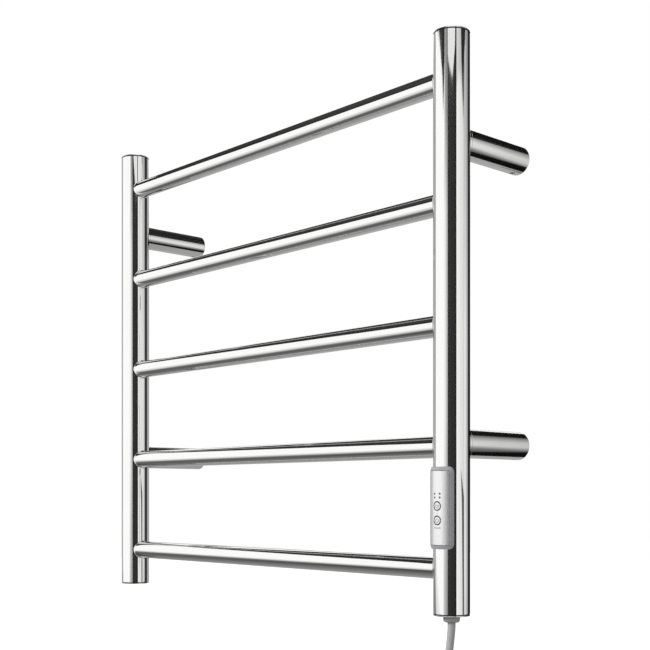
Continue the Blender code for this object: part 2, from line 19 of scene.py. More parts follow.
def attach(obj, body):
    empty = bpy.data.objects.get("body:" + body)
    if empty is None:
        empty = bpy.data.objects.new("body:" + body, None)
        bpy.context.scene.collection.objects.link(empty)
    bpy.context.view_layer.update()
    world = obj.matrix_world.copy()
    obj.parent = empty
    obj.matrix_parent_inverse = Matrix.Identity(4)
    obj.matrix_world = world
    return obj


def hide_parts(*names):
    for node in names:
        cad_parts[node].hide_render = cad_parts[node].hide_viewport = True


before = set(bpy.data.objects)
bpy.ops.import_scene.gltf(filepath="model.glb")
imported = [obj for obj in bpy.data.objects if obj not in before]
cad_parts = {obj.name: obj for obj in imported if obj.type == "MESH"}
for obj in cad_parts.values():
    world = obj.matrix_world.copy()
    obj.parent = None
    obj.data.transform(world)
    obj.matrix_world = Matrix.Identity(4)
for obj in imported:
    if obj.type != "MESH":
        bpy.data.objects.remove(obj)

logging.basicConfig(level=logging.INFO, format="%(message)s")
log = logging.getLogger("towel_warmer")

MM = 0.001
GAP = 0.3 * MM
RACK = "rack"

Point = tuple[float, float, float]
Profile = list[tuple[float, float]]


class Along(Enum):
    """The world axis that a turned or drawn piece runs along."""

    X = "X"
    Y = "Y"
    Z = "Z"

    @property
    def turn(self) -> Matrix:
        """The rotation that lays a +Z piece along this axis.

        Returns:
            The rotation.
        """
        if self is Along.X:
            return Matrix.Rotation(math.pi / 2, 4, "Y")
        if self is Along.Y:
            return Matrix.Rotation(-math.pi / 2, 4, "X")
        return Matrix.Identity(4)

    @property
    def unit(self) -> Vector:
        """The axis as a unit vector."""
        return self.turn.to_3x3() @ Vector((0, 0, 1))


class Level(Enum):
    """The two heights of the wall standoffs."""

    UPPER = "upper"
    LOWER = "lower"


class Side(Enum):
    """The two sides of the rack, seen from the room."""

    LEFT = -1
    RIGHT = 1

    @property
    def word(self) -> str:
        """The side as it stands in a piece's name."""
        return self.name.lower()


# ---------------------------------------------------------------- node graphs and finishes


class Graph:
    """A material's node tree with short ways to add and join its nodes."""

    def __init__(self, name: str) -> None:
        """Start an empty tree with its output node.

        Args:
            name: The material's name.
        """
        self.material = bpy.data.materials.new(name)
        self.material.use_nodes = True
        self.tree = self.material.node_tree
        self.tree.nodes.clear()
        self.output = self.tree.nodes.new("ShaderNodeOutputMaterial")

    def node(self, kind: str, **values: object) -> bpy.types.Node:
        """Add one node.

        Args:
            kind: The node's type, without the ShaderNode in front.
            values: Properties of the node, set by name.

        Returns:
            The new node.
        """
        made = self.tree.nodes.new("ShaderNode" + kind)
        for key, value in values.items():
            setattr(made, key, value)
        return made

    def join(self, start: bpy.types.NodeSocket, end: bpy.types.NodeSocket) -> None:
        """Link an output to an input."""
        self.tree.links.new(start, end)

    def coordinates(self, stretch: Point = (1.0, 1.0, 1.0)) -> bpy.types.NodeSocket:
        """Object coordinates, scaled on each axis.

        Args:
            stretch: The scale along each axis.

        Returns:
            The vector socket.
        """
        where = self.node("TexCoord")
        mapping = self.node("Mapping")
        mapping.inputs["Scale"].default_value = stretch
        self.join(where.outputs["Object"], mapping.inputs["Vector"])
        return mapping.outputs["Vector"]

    def noise(
        self, vector: bpy.types.NodeSocket, scale: float, detail: float = 3.0
    ) -> bpy.types.NodeSocket:
        """A noise pattern.

        Args:
            vector: Where the pattern is read.
            scale: Its frequency, per metre.
            detail: The number of octaves.

        Returns:
            The grey output socket.
        """
        made = self.node("TexNoise")
        made.inputs["Scale"].default_value = scale
        made.inputs["Detail"].default_value = detail
        self.join(vector, made.inputs["Vector"])
        return made.outputs["Fac"]

    def spread(self, value: bpy.types.NodeSocket, low: float, high: float) -> bpy.types.NodeSocket:
        """Map a pattern's middle range onto low to high.

        Args:
            value: The pattern.
            low: What 0.3 becomes.
            high: What 0.7 becomes.

        Returns:
            The mapped socket.
        """
        made = self.node("MapRange")
        made.inputs["From Min"].default_value = 0.3
        made.inputs["From Max"].default_value = 0.7
        made.inputs["To Min"].default_value = low
        made.inputs["To Max"].default_value = high
        self.join(value, made.inputs["Value"])
        return made.outputs["Result"]

    def ramp(
        self, value: bpy.types.NodeSocket, stops: Sequence[tuple[float, Point]]
    ) -> bpy.types.NodeSocket:
        """A colour ramp.

        Args:
            value: What drives it, from 0 to 1.
            stops: Positions and their linear colours.

        Returns:
            The colour socket.
        """
        made = self.node("ValToRGB")
        elements = made.color_ramp.elements
        while len(elements) < len(stops):
            elements.new(0.5)
        for element, (place, colour) in zip(elements, stops):
            element.position = place
            element.color = (*colour, 1.0)
        self.join(value, made.inputs["Fac"])
        return made.outputs["Color"]

    def bump(
        self, height: bpy.types.NodeSocket, depth: float, strength: float = 1.0
    ) -> bpy.types.NodeSocket:
        """A bump from a pattern.

        Args:
            height: The pattern.
            depth: The height of the relief, in metres.
            strength: How much of it shows.

        Returns:
            The normal socket.
        """
        made = self.node("Bump")
        made.inputs["Distance"].default_value = depth
        made.inputs["Strength"].default_value = strength
        self.join(height, made.inputs["Height"])
        return made.outputs["Normal"]

    def surface(self, **values: object) -> bpy.types.Node:
        """The principled shader, joined to the output.

        Args:
            values: Inputs by name, with _ for a space; a socket is linked and a value is set.

        Returns:
            The shader node.
        """
        made = self.node("BsdfPrincipled")
        for key, value in values.items():
            socket = made.inputs[key.replace("_", " ")]
            if isinstance(value, bpy.types.NodeSocket):
                self.join(value, socket)
            else:
                socket.default_value = value
        self.join(made.outputs["BSDF"], self.output.inputs["Surface"])
        return made


def tinted(colour: Point, factor: float) -> Point:
    """A colour made lighter or darker by a factor."""
    return tuple(min(1.0, channel * factor) for channel in colour)


@dataclass(frozen=True)
class Finish:
    """A surface finish; material() makes it once and hands out the same one afterwards."""

    name: str

    def material(self) -> bpy.types.Material:
        """The finish as a material.

        Returns:
            The material, made on the first call.
        """
        found = bpy.data.materials.get(self.name)
        if found:
            return found
        graph = Graph(self.name)
        self.weave(graph)
        return graph.material

    def weave(self, graph: Graph) -> None:
        """Fill the graph with the finish's nodes."""
        raise NotImplementedError


@dataclass(frozen=True)
class PolishedSteel(Finish):
    """Mirror-polished stainless steel with faint draw lines along the tube."""

    along: Along = Along.Z
    colour: Point = (0.83, 0.83, 0.82)
    roughness: tuple[float, float] = (0.035, 0.075)

    def weave(self, graph: Graph) -> None:
        """Polish haze in clouds, and long shallow draw lines.

        Args:
            graph: The graph of the material.
        """
        stretch = tuple(0.02 if axis == self.along.value else 1.0 for axis in "XYZ")
        haze = graph.noise(graph.coordinates(), 14.0, 4.0)
        lines = graph.noise(graph.coordinates(stretch), 420.0, 2.0)
        tone = graph.ramp(haze, [(0.3, tinted(self.colour, 0.975)), (0.7, self.colour)])
        graph.surface(
            Base_Color=tone,
            Metallic=1.0,
            Roughness=graph.spread(haze, *self.roughness),
            Normal=graph.bump(lines, 0.012 * MM, 0.35),
        )


@dataclass(frozen=True)
class SatinSteel(Finish):
    """Stainless steel brushed round the piece and lightly polished."""

    colour: Point = (0.80, 0.80, 0.79)
    roughness: tuple[float, float] = (0.07, 0.13)

    def weave(self, graph: Graph) -> None:
        """Fine turned rings along Y over a soft haze.

        Args:
            graph: The graph of the material.
        """
        rings = graph.noise(graph.coordinates((0.02, 1.0, 0.02)), 2600.0, 2.0)
        haze = graph.noise(graph.coordinates(), 30.0, 3.0)
        tone = graph.ramp(haze, [(0.3, tinted(self.colour, 0.96)), (0.7, self.colour)])
        graph.surface(
            Base_Color=tone,
            Metallic=1.0,
            Roughness=graph.spread(rings, *self.roughness),
            Normal=graph.bump(rings, 0.01 * MM, 0.3),
        )


@dataclass(frozen=True)
class ZincPlate(Finish):
    """Bright zinc plating, a little cloudy."""

    colour: Point = (0.56, 0.58, 0.60)

    def weave(self, graph: Graph) -> None:
        """Bluish clouds with small spangles.

        Args:
            graph: The graph of the material.
        """
        clouds = graph.noise(graph.coordinates(), 160.0, 4.0)
        spangle = graph.noise(graph.coordinates(), 1900.0, 2.0)
        warm = (self.colour[0] * 1.08, self.colour[1] * 1.04, self.colour[2] * 0.96)
        graph.surface(
            Base_Color=graph.ramp(clouds, [(0.35, self.colour), (0.65, warm)]),
            Metallic=1.0,
            Roughness=graph.spread(clouds, 0.26, 0.42),
            Normal=graph.bump(spangle, 0.01 * MM, 0.5),
        )


@dataclass(frozen=True)
class MouldedPlastic(Finish):
    """Injection-moulded plastic with a fine spark texture from the tool."""

    colour: Point = (0.40, 0.40, 0.41)
    roughness: tuple[float, float] = (0.40, 0.50)
    grain: float = 2400.0
    depth: float = 0.012 * MM

    def weave(self, graph: Graph) -> None:
        """Spark grain, and a faint change of tone where the plastic flowed.

        Args:
            graph: The graph of the material.
        """
        flow = graph.noise(graph.coordinates(), 60.0, 2.0)
        spark = graph.noise(graph.coordinates(), self.grain, 2.0)
        tone = graph.ramp(
            flow, [(0.3, tinted(self.colour, 0.95)), (0.7, tinted(self.colour, 1.03))]
        )
        graph.surface(
            Base_Color=tone,
            Roughness=graph.spread(spark, *self.roughness),
            Normal=graph.bump(spark, self.depth, 0.6),
        )


@dataclass(frozen=True)
class SilverLacquer(Finish):
    """Silver lacquer on plastic: metal flakes under a thin clear coat."""

    colour: Point = (0.79, 0.79, 0.80)
    metallic: float = 0.85
    roughness: float = 0.32

    def weave(self, graph: Graph) -> None:
        """Flakes that catch the light one by one, under a coat.

        Args:
            graph: The graph of the material.
        """
        flakes = graph.node("TexVoronoi")
        flakes.inputs["Scale"].default_value = 5200.0
        graph.join(graph.coordinates(), flakes.inputs["Vector"])
        grey = graph.node("RGBToBW")
        graph.join(flakes.outputs["Color"], grey.inputs["Color"])
        tone = graph.ramp(
            grey.outputs["Val"], [
                (0.25, tinted(self.colour, 0.93)), (0.75, tinted(self.colour, 1.05))
            ]
        )
        graph.surface(
            Base_Color=tone,
            Metallic=self.metallic,
            Roughness=self.roughness,
            Coat_Weight=0.25,
            Coat_Roughness=0.22,
            Normal=graph.bump(grey.outputs["Val"], 0.004 * MM, 0.4),
        )


@dataclass(frozen=True)
class FlexSheath(Finish):
    """Soft grey cable sheath with shallow extrusion lines."""

    colour: Point = (0.50, 0.50, 0.503)

    def weave(self, graph: Graph) -> None:
        """Matt, with a fine skin and a slow change of tone.

        Args:
            graph: The graph of the material.
        """
        skin = graph.noise(graph.coordinates(), 1500.0, 3.0)
        slow = graph.noise(graph.coordinates(), 45.0, 2.0)
        tone = graph.ramp(
            slow, [(0.3, tinted(self.colour, 0.93)), (0.7, tinted(self.colour, 1.04))]
        )
        graph.surface(
            Base_Color=tone,
            Roughness=graph.spread(skin, 0.42, 0.58),
            Normal=graph.bump(skin, 0.02 * MM, 0.5),
        )


@dataclass(frozen=True)
class Rubber(Finish):
    """Dark sealing rubber or silicone, dull and dusty; the near-black seam finish reuses it as
    painted shade.
    """

    colour: Point = (0.035, 0.035, 0.037)

    def weave(self, graph: Graph) -> None:
        """Talc-like bloom over a dark body.

        Args:
            graph: The graph of the material.
        """
        bloom = graph.noise(graph.coordinates(), 700.0, 5.0)
        tone = graph.ramp(bloom, [(0.35, self.colour), (0.8, tinted(self.colour, 1.5))])
        graph.surface(
            Base_Color=tone,
            Roughness=graph.spread(bloom, 0.62, 0.80),
            Normal=graph.bump(bloom, 0.02 * MM, 0.6),
        )


@dataclass(frozen=True)
class Brass(Finish):
    """Nickel-washed brass contacts with fine stamping lines."""

    colour: Point = (0.74, 0.60, 0.36)

    def weave(self, graph: Graph) -> None:
        """Lines along the contact and a faint tarnish.

        Args:
            graph: The graph of the material.
        """
        lines = graph.noise(graph.coordinates((1.0, 1.0, 0.03)), 3000.0, 2.0)
        tarnish = graph.noise(graph.coordinates(), 120.0, 4.0)
        tone = graph.ramp(tarnish, [(0.35, tinted(self.colour, 0.86)), (0.65, self.colour)])
        graph.surface(
            Base_Color=tone,
            Metallic=1.0,
            Roughness=graph.spread(lines, 0.20, 0.34),
            Normal=graph.bump(lines, 0.006 * MM, 0.5),
        )


@dataclass(frozen=True)
class CircuitBoard(Finish):
    """Green solder mask over copper tracks."""

    mask: Point = (0.015, 0.13, 0.05)
    track: Point = (0.03, 0.22, 0.09)

    def weave(self, graph: Graph) -> None:
        """Tracks as a brick pattern of thin lines.

        Args:
            graph: The graph of the material.
        """
        bricks = graph.node("TexBrick")
        bricks.inputs["Scale"].default_value = 260.0
        bricks.inputs["Color1"].default_value = (*self.mask, 1.0)
        bricks.inputs["Color2"].default_value = (*tinted(self.mask, 1.2), 1.0)
        bricks.inputs["Mortar"].default_value = (*self.track, 1.0)
        graph.join(graph.coordinates((1.0, 1.0, 1.0)), bricks.inputs["Vector"])
        graph.surface(
            Base_Color=bricks.outputs["Color"],
            Roughness=0.35,
            Normal=graph.bump(bricks.outputs["Fac"], 0.03 * MM, 0.5),
        )


@dataclass(frozen=True)
class StripedWire(Finish):
    """Green insulation with a yellow stripe along the wire."""

    green: Point = (0.05, 0.30, 0.06)
    yellow: Point = (0.75, 0.62, 0.05)

    def weave(self, graph: Graph) -> None:
        """Bands across X, so each long run shows one stripe.

        Args:
            graph: The graph of the material.
        """
        bands = graph.node("TexWave", bands_direction="X")
        bands.inputs["Scale"].default_value = 130.0
        graph.join(graph.coordinates(), bands.inputs["Vector"])
        tone = graph.ramp(bands.outputs["Fac"], [(0.45, self.green), (0.55, self.yellow)])
        graph.surface(Base_Color=tone, Roughness=0.45)


@dataclass(frozen=True)
class InkMark(Finish):
    """Pad-printed ink, a little uneven."""

    colour: Point = (0.035, 0.035, 0.037)

    def weave(self, graph: Graph) -> None:
        """Dense ink with small thin spots.

        Args:
            graph: The graph of the material.
        """
        cover = graph.noise(graph.coordinates(), 3200.0, 2.0)
        tone = graph.ramp(cover, [(0.3, tinted(self.colour, 1.6)), (0.5, self.colour)])
        graph.surface(Base_Color=tone, Roughness=0.5)


@dataclass(frozen=True)
class SmokedLens(Finish):
    """Smoky clear plastic that the lights shine through."""

    colour: Point = (0.10, 0.105, 0.11)

    def weave(self, graph: Graph) -> None:
        """Dark and glossy, slightly mottled inside.

        Args:
            graph: The graph of the material.
        """
        mottle = graph.noise(graph.coordinates(), 900.0, 2.0)
        tone = graph.ramp(
            mottle, [(0.3, tinted(self.colour, 0.8)), (0.7, tinted(self.colour, 1.2))]
        )
        graph.surface(Base_Color=tone, Roughness=graph.spread(mottle, 0.12, 0.2), Coat_Weight=0.5)


POST_STEEL = PolishedSteel("polished_post_steel", along=Along.Z)
RUNG_STEEL = PolishedSteel("polished_rung_steel", along=Along.X)
STANDOFF_STEEL = SatinSteel("satin_standoff_steel")
ZINC = ZincPlate("zinc_plate")
BEZEL_PLASTIC = MouldedPlastic("bezel_plastic", colour=(0.18, 0.18, 0.182), roughness=(0.38, 0.46))
KEY_PLASTIC = SilverLacquer("key_lacquer", colour=(0.70, 0.70, 0.71), metallic=0.35)
PLATE_LACQUER = SilverLacquer("plate_lacquer")
GLAND_PLASTIC = MouldedPlastic("gland_plastic", colour=(0.40, 0.40, 0.403), grain=1800.0)
DARK_PLASTIC = MouldedPlastic("dark_plastic", colour=(0.03, 0.03, 0.032))
SHEATH = FlexSheath("flex_sheath")
SEAL_RUBBER = Rubber("seal_rubber")
# Near-black finish for the cap spigots inside the seam groove: painted shade of the seam between
# cap and post.
SEAM_SHADE_PAINT = Rubber("seam_painted_shade", colour=(0.012, 0.012, 0.012))
SILICONE = Rubber("silicone_rubber", colour=(0.36, 0.09, 0.06))
CONTACT_BRASS = Brass("contact_brass")
BOARD = CircuitBoard("circuit_board")
EARTH_WIRE = StripedWire("earth_wire")
INK = InkMark("grey_ink")
LENS = SmokedLens("smoked_lens")


# ------------------------------------------------------------------------- mesh helpers


def arc(
    centre: tuple[float, float], radius: float, start: float, end: float, steps: int
) -> Profile:
    """Points along an arc of a profile.

    Args:
        centre: The arc's centre, as distance from the axis and height.
        radius: Its radius.
        start: The first angle in degrees, from outwards towards up.
        end: The last angle.
        steps: How many stretches it is cut into.

    Returns:
        The points, the first and the last among them.
    """
    angles = [math.radians(start + (end - start) * i / steps) for i in range(steps + 1)]
    return [(centre[0] + radius * math.cos(a), centre[1] + radius * math.sin(a)) for a in angles]


def lathe(profile: Profile, steps: int, closed: bool = True) -> bmesh.types.BMesh:
    """Spin a profile round +Z.

    Args:
        profile: Points as distance from the axis and height.
        steps: How many facets go round.
        closed: Whether the last point joins the first.

    Returns:
        The turned solid.
    """
    bm = bmesh.new()
    points = [bm.verts.new((radius, 0.0, height)) for radius, height in profile]
    edges = [bm.edges.new(pair) for pair in zip(points, points[1:])]
    if closed:
        edges.append(bm.edges.new((points[-1], points[0])))
    bmesh.ops.spin(
        bm,
        geom=points + edges,
        cent=(0, 0, 0),
        axis=(0, 0, 1),
        angle=2 * math.pi,
        steps=steps,
        use_merge=True,
    )
    bmesh.ops.remove_doubles(bm, verts=bm.verts, dist=1e-7)
    bmesh.ops.recalc_face_normals(bm, faces=bm.faces)
    return bm


def solid_rod(
    radius: float, length: float, sides: int, where: Point, along: Along
) -> bmesh.types.BMesh:
    """A plain rod about its centre.

    Args:
        radius: Its radius.
        length: Its length.
        sides: How many facets go round.
        where: Its centre.
        along: The axis that it runs along.

    Returns:
        The rod.
    """
    bm = bmesh.new()
    bmesh.ops.create_cone(
        bm,
        cap_ends=True,
        segments=sides,
        radius1=radius,
        radius2=radius,
        depth=length,
        matrix=Matrix.Translation(where) @ along.turn,
    )
    return bm


def solid_block(size: Point, where: Point) -> bmesh.types.BMesh:
    """A plain block about its centre.

    Args:
        size: Its width, depth and height.
        where: Its centre.

    Returns:
        The block.
    """
    bm = bmesh.new()
    bmesh.ops.create_cube(
        bm, size=1.0, matrix=Matrix.Translation(where) @ Matrix.Diagonal((*size, 1.0))
    )
    return bm


def soften(
    bm: bmesh.types.BMesh, edges: list[bmesh.types.BMEdge], offset: float, segments: int
) -> None:
    """Round edges of a mesh.

    Args:
        bm: The mesh.
        edges: Its edges to round.
        offset: How far the rounding reaches.
        segments: Its steps.
    """
    bmesh.ops.bevel(
        bm, geom=edges, offset=offset, segments=segments, profile=0.5, affect="EDGES", material=-1
    )


def joined(parts: Iterable[bmesh.types.BMesh]) -> bmesh.types.BMesh:
    """Several meshes as one, without merging them.

    Args:
        parts: The meshes, which are freed.

    Returns:
        The whole mesh.
    """
    whole = bmesh.new()
    for part in parts:
        mesh = bpy.data.meshes.new("loose")
        part.to_mesh(mesh)
        part.free()
        whole.from_mesh(mesh)
        bpy.data.meshes.remove(mesh)
    return whole


def make_object(name: str, bm: bmesh.types.BMesh, crease: float = 35.0) -> bpy.types.Object:
    """Turn a bmesh into an object at the origin, shaded smooth between its creases.

    Args:
        name: The object's name.
        bm: The mesh, which is freed.
        crease: The angle in degrees from which an edge stays sharp.

    Returns:
        The new object.
    """
    mesh = bpy.data.meshes.new(name)
    bm.to_mesh(mesh)
    bm.free()
    mesh.polygons.foreach_set("use_smooth", [True] * len(mesh.polygons))
    mesh.set_sharp_from_angle(angle=math.radians(crease))
    made = bpy.data.objects.new(name, mesh)
    bpy.context.scene.collection.objects.link(made)
    return made


def pierce(
    piece: bpy.types.Object, cutter: bmesh.types.BMesh, operation: str = "DIFFERENCE",
    crease: float = 35.0,
) -> None:
    """Cut or join a piece with another solid, and keep the result as its mesh.

    Args:
        piece: The piece.
        cutter: The other solid, which is freed.
        operation: DIFFERENCE, UNION or INTERSECT.
        crease: The angle in degrees from which an edge stays sharp.
    """
    tool = make_object(piece.name + "_tool", cutter)
    modifier = piece.modifiers.new("cut", "BOOLEAN")
    modifier.operation = operation
    modifier.solver = "EXACT"
    modifier.object = tool
    graph = bpy.context.evaluated_depsgraph_get()
    mesh = bpy.data.meshes.new_from_object(piece.evaluated_get(graph))
    piece.modifiers.clear()
    old, piece.data = piece.data, mesh
    mesh.name = piece.name
    mesh.polygons.foreach_set("use_smooth", [True] * len(mesh.polygons))
    mesh.set_sharp_from_angle(angle=math.radians(crease))
    bpy.data.meshes.remove(old)
    old_tool = tool.data
    bpy.data.objects.remove(tool, do_unlink=True)
    bpy.data.meshes.remove(old_tool)


def true_round(piece: bpy.types.Object, centre: Point, along: Along, radius: float) -> None:
    """Give the faces that lie on a cylinder the cylinder's own normals, so that a mirror finish
    stays even across them where holes were cut.

    Args:
        piece: The piece.
        centre: A point on the cylinder's axis.
        along: The cylinder's axis.
        radius: Its radius.
    """
    mesh = piece.data
    axis, origin = along.unit, Vector(centre)

    def outward(point: Vector) -> Vector:
        """From the axis straight out to the point."""
        away = point - origin
        return away - axis * away.dot(axis)

    normals = [Vector() for _ in mesh.loops]
    for polygon in mesh.polygons:
        spokes = [outward(mesh.vertices[i].co) for i in polygon.vertices]
        if all(abs(spoke.length - radius) < 0.02 * MM for spoke in spokes):
            for loop, spoke in zip(polygon.loop_indices, spokes):
                normals[loop] = spoke.normalized()
    mesh.normals_split_custom_set(normals)


def hand_over(
    piece: bpy.types.Object, finish: Finish, nodes: Sequence[str] = (), body: str = RACK
) -> bpy.types.Object:
    """Dress a finished piece and tie it to the model.

    Args:
        piece: The piece.
        finish: Its finish.
        nodes: The model's nodes that it stands for.
        body: The body that it moves with.

    Returns:
        The same piece.
    """
    piece.data.materials.clear()
    piece.data.materials.append(finish.material())
    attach(piece, body)
    if nodes:
        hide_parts(*nodes)
    size = len(piece.data.polygons) if piece.type == "MESH" else len(piece.data.splines[0].points)
    log.info("%s: %d faces or points, %s", piece.name, size, finish.name)
    return piece


# --------------------------------------------------------------------- camera and flex


@dataclass
class RoomCamera:
    """The camera, low and to the right of the rack."""

    location: Point = (0.89096, -0.83127, -0.174835)
    heading: float = math.radians(47.477)
    lens: float = 62.926
    slide: float = -0.00077
    rise: float = 0.26206

    def build(self) -> None:
        """Place the camera and make it the scene's own."""
        data = bpy.data.cameras.new("room_camera")
        data.lens = self.lens
        data.sensor_width = 36.0
        data.shift_x, data.shift_y = self.slide, self.rise
        data.clip_start, data.clip_end = 0.01, 50.0
        camera = bpy.data.objects.new("room_camera", data)
        camera.location = self.location
        camera.rotation_euler = (math.pi / 2, 0.0, self.heading)
        bpy.context.scene.collection.objects.link(camera)
        bpy.context.scene.camera = camera


@dataclass
class MainsFlex:
    """The flex: a short hanging stretch, four turns of a flat hank, and a last run to the plug."""

    post_x: float = 245.5 * MM
    post_y: float = -92.5 * MM
    radius: float = 3.5 * MM
    length: float = 1.5
    route: tuple[tuple[float, float], ...] = (
        (0.0, -284.1),
        (-0.2, -290.0),
        (-0.9, -296.0),
        (-1.8, -303.0),
        (-2.8, -310.0),
        (-3.6, -317.0),
        (-3.9, -323.5),
    )
    fold_r: float = 22.0 * MM
    half_run: float = 46.7 * MM
    turns: int = 4
    pitch: float = 7.4 * MM
    last_step: float = 0.3
    pinch: float = 0.55
    pinch_length: float = 27.0 * MM
    tie_height: float = 12.0 * MM
    tie_thickness: float = 1.2 * MM

    @property
    def run_x(self) -> float:
        """Where the right-hand runs hang."""
        return self.post_x + self.route[-1][0] * MM

    @property
    def centre(self) -> Vector:
        """The hank's middle, at the depth of its first run."""
        half_height = self.half_run + self.fold_r + self.radius
        return Vector(
            (self.run_x - self.fold_r, self.post_y, self.route[-1][1] * MM - GAP - half_height)
        )

    @property
    def depth(self) -> float:
        """From the first run to the last."""
        return (self.turns + self.last_step) * self.pitch

    def waist(self, height: float) -> float:
        """How far the tie draws the runs together at a height from the hank's middle."""
        return 1 - self.pinch * math.exp(-((height / self.pinch_length) ** 2))

    def loop_point(self, along: float) -> tuple[float, float]:
        """A point of one turn, which starts at the top of the right-hand run and goes down.

        Args:
            along: The distance along the turn.

        Returns:
            Its offsets from the hank's middle, sideways and in height.
        """
        run, fold = 2 * self.half_run, math.pi * self.fold_r
        along %= 2 * (run + fold)
        if along < run:
            x, z = self.fold_r, self.half_run - along
        elif along < run + fold:
            angle = (along - run) / self.fold_r
            x, z = self.fold_r * math.cos(angle), -self.half_run - self.fold_r * math.sin(angle)
        elif along < 2 * run + fold:
            x, z = -self.fold_r, -self.half_run + along - run - fold
        else:
            angle = (along - 2 * run - fold) / self.fold_r
            x, z = -self.fold_r * math.cos(angle), self.half_run + self.fold_r * math.sin(angle)
        return x * self.waist(z), z

    def points(self) -> list[Vector]:
        """The whole centre line, from the gland to the plug.

        Returns:
            Its points in order.
        """
        hanging = self.smooth(
            [Vector((self.post_x + x * MM, self.post_y, z * MM)) for x, z in self.route]
        )
        top = self.half_run + self.fold_r + self.radius
        out = hanging[:-1]
        steps = 6
        for i in range(steps):
            height = top + GAP - (top + GAP - self.half_run) * i / steps
            out.append(self.centre + Vector((self.fold_r * self.waist(height), 0, height)))
        turn = 4 * self.half_run + 2 * math.pi * self.fold_r
        steps = 72
        for i in range(self.turns * steps):
            x, z = self.loop_point(turn * i / steps)
            out.append(self.centre + Vector((x, self.pitch * i / steps, z)))
        last = self.half_run + top
        steps = 20
        for i in range(steps + 1):
            z = self.half_run - last * i / steps
            y = self.pitch * (self.turns + self.last_step * min(1.0, i / (steps - 4)))
            out.append(self.centre + Vector((self.fold_r * self.waist(z), y, z)))
        return out

    @staticmethod
    def smooth(points: list[Vector]) -> list[Vector]:
        """A smooth line through the points, with three more in each stretch.

        Args:
            points: The points.

        Returns:
            The finer line.
        """
        padded = [2 * points[0] - points[1], *points, 2 * points[-1] - points[-2]]
        out = []
        for a, b, c, d in zip(padded, padded[1:], padded[2:], padded[3:]):
            for step in range(4):
                t = step / 4
                bend = (2 * a - 5 * b + 4 * c - d) * t**2 + (3 * b - a - 3 * c + d) * t**3
                out.append(0.5 * (2 * b + (c - a) * t + bend))
        return out + [points[-1]]

    def build_flex(self) -> bpy.types.Object:
        """Draw the flex as one line of its own thickness.

        Returns:
            The flex.
        """
        curve = bpy.data.curves.new("mains_flex", "CURVE")
        curve.dimensions = "3D"
        curve.bevel_depth = self.radius
        curve.bevel_resolution = 7
        curve.use_fill_caps = True
        line = self.points()
        spline = curve.splines.new("POLY")
        spline.points.add(len(line) - 1)
        for point, where in zip(spline.points, line):
            point.co = (*where, 1.0)
        spline.use_smooth = True
        flex = bpy.data.objects.new("mains_flex", curve)
        bpy.context.scene.collection.objects.link(flex)
        return hand_over(flex, SHEATH, ("cord", "cord_hank"))

    def build_tie(self) -> bpy.types.Object:
        """A flat rubber strap round the hank's waist, its end lapped over on the room side.

        Returns:
            The strap.
        """
        half_x = self.fold_r * self.waist(self.tie_height / 2) + self.radius + GAP
        half_y = self.depth / 2 + self.radius + GAP
        t = self.tie_thickness
        bm = bmesh.new()
        bmesh.ops.create_grid(bm, x_segments=1, y_segments=1, size=1.0)
        bmesh.ops.scale(bm, vec=(half_x + t, half_y + t, 1), verts=bm.verts)
        bmesh.ops.bevel(
            bm, geom=bm.verts[:], offset=self.radius + t, segments=10, profile=0.5,
            affect="VERTICES", material=-1,
        )
        middle = bm.faces[:]
        bmesh.ops.inset_region(
            bm, faces=middle, thickness=t, use_boundary=True, use_even_offset=True
        )
        bmesh.ops.delete(bm, geom=middle, context="FACES")
        raised = bmesh.ops.extrude_face_region(bm, geom=bm.faces[:])["geom"]
        lifted = [item for item in raised if isinstance(item, bmesh.types.BMVert)]
        bmesh.ops.translate(bm, vec=(0, 0, self.tie_height), verts=lifted)
        bmesh.ops.recalc_face_normals(bm, faces=bm.faces)
        rims = [e for e in bm.edges if len(e.link_faces) == 2 and e.calc_face_angle() > 1.0]
        soften(bm, rims, 0.35 * MM, 3)
        where = self.centre + Vector((0, self.depth / 2, -self.tie_height / 2))
        bmesh.ops.translate(bm, vec=where, verts=bm.verts)
        return hand_over(make_object("hank_tie", bm), SEAL_RUBBER, ("cord_tie",))

    def build(self, plug: list[bpy.types.Object]) -> None:
        """Build the flex and its tie.

        Args:
            plug: The pieces of the plug at its far end; not used.
        """
        flex, tie = self.build_flex(), self.build_tie()


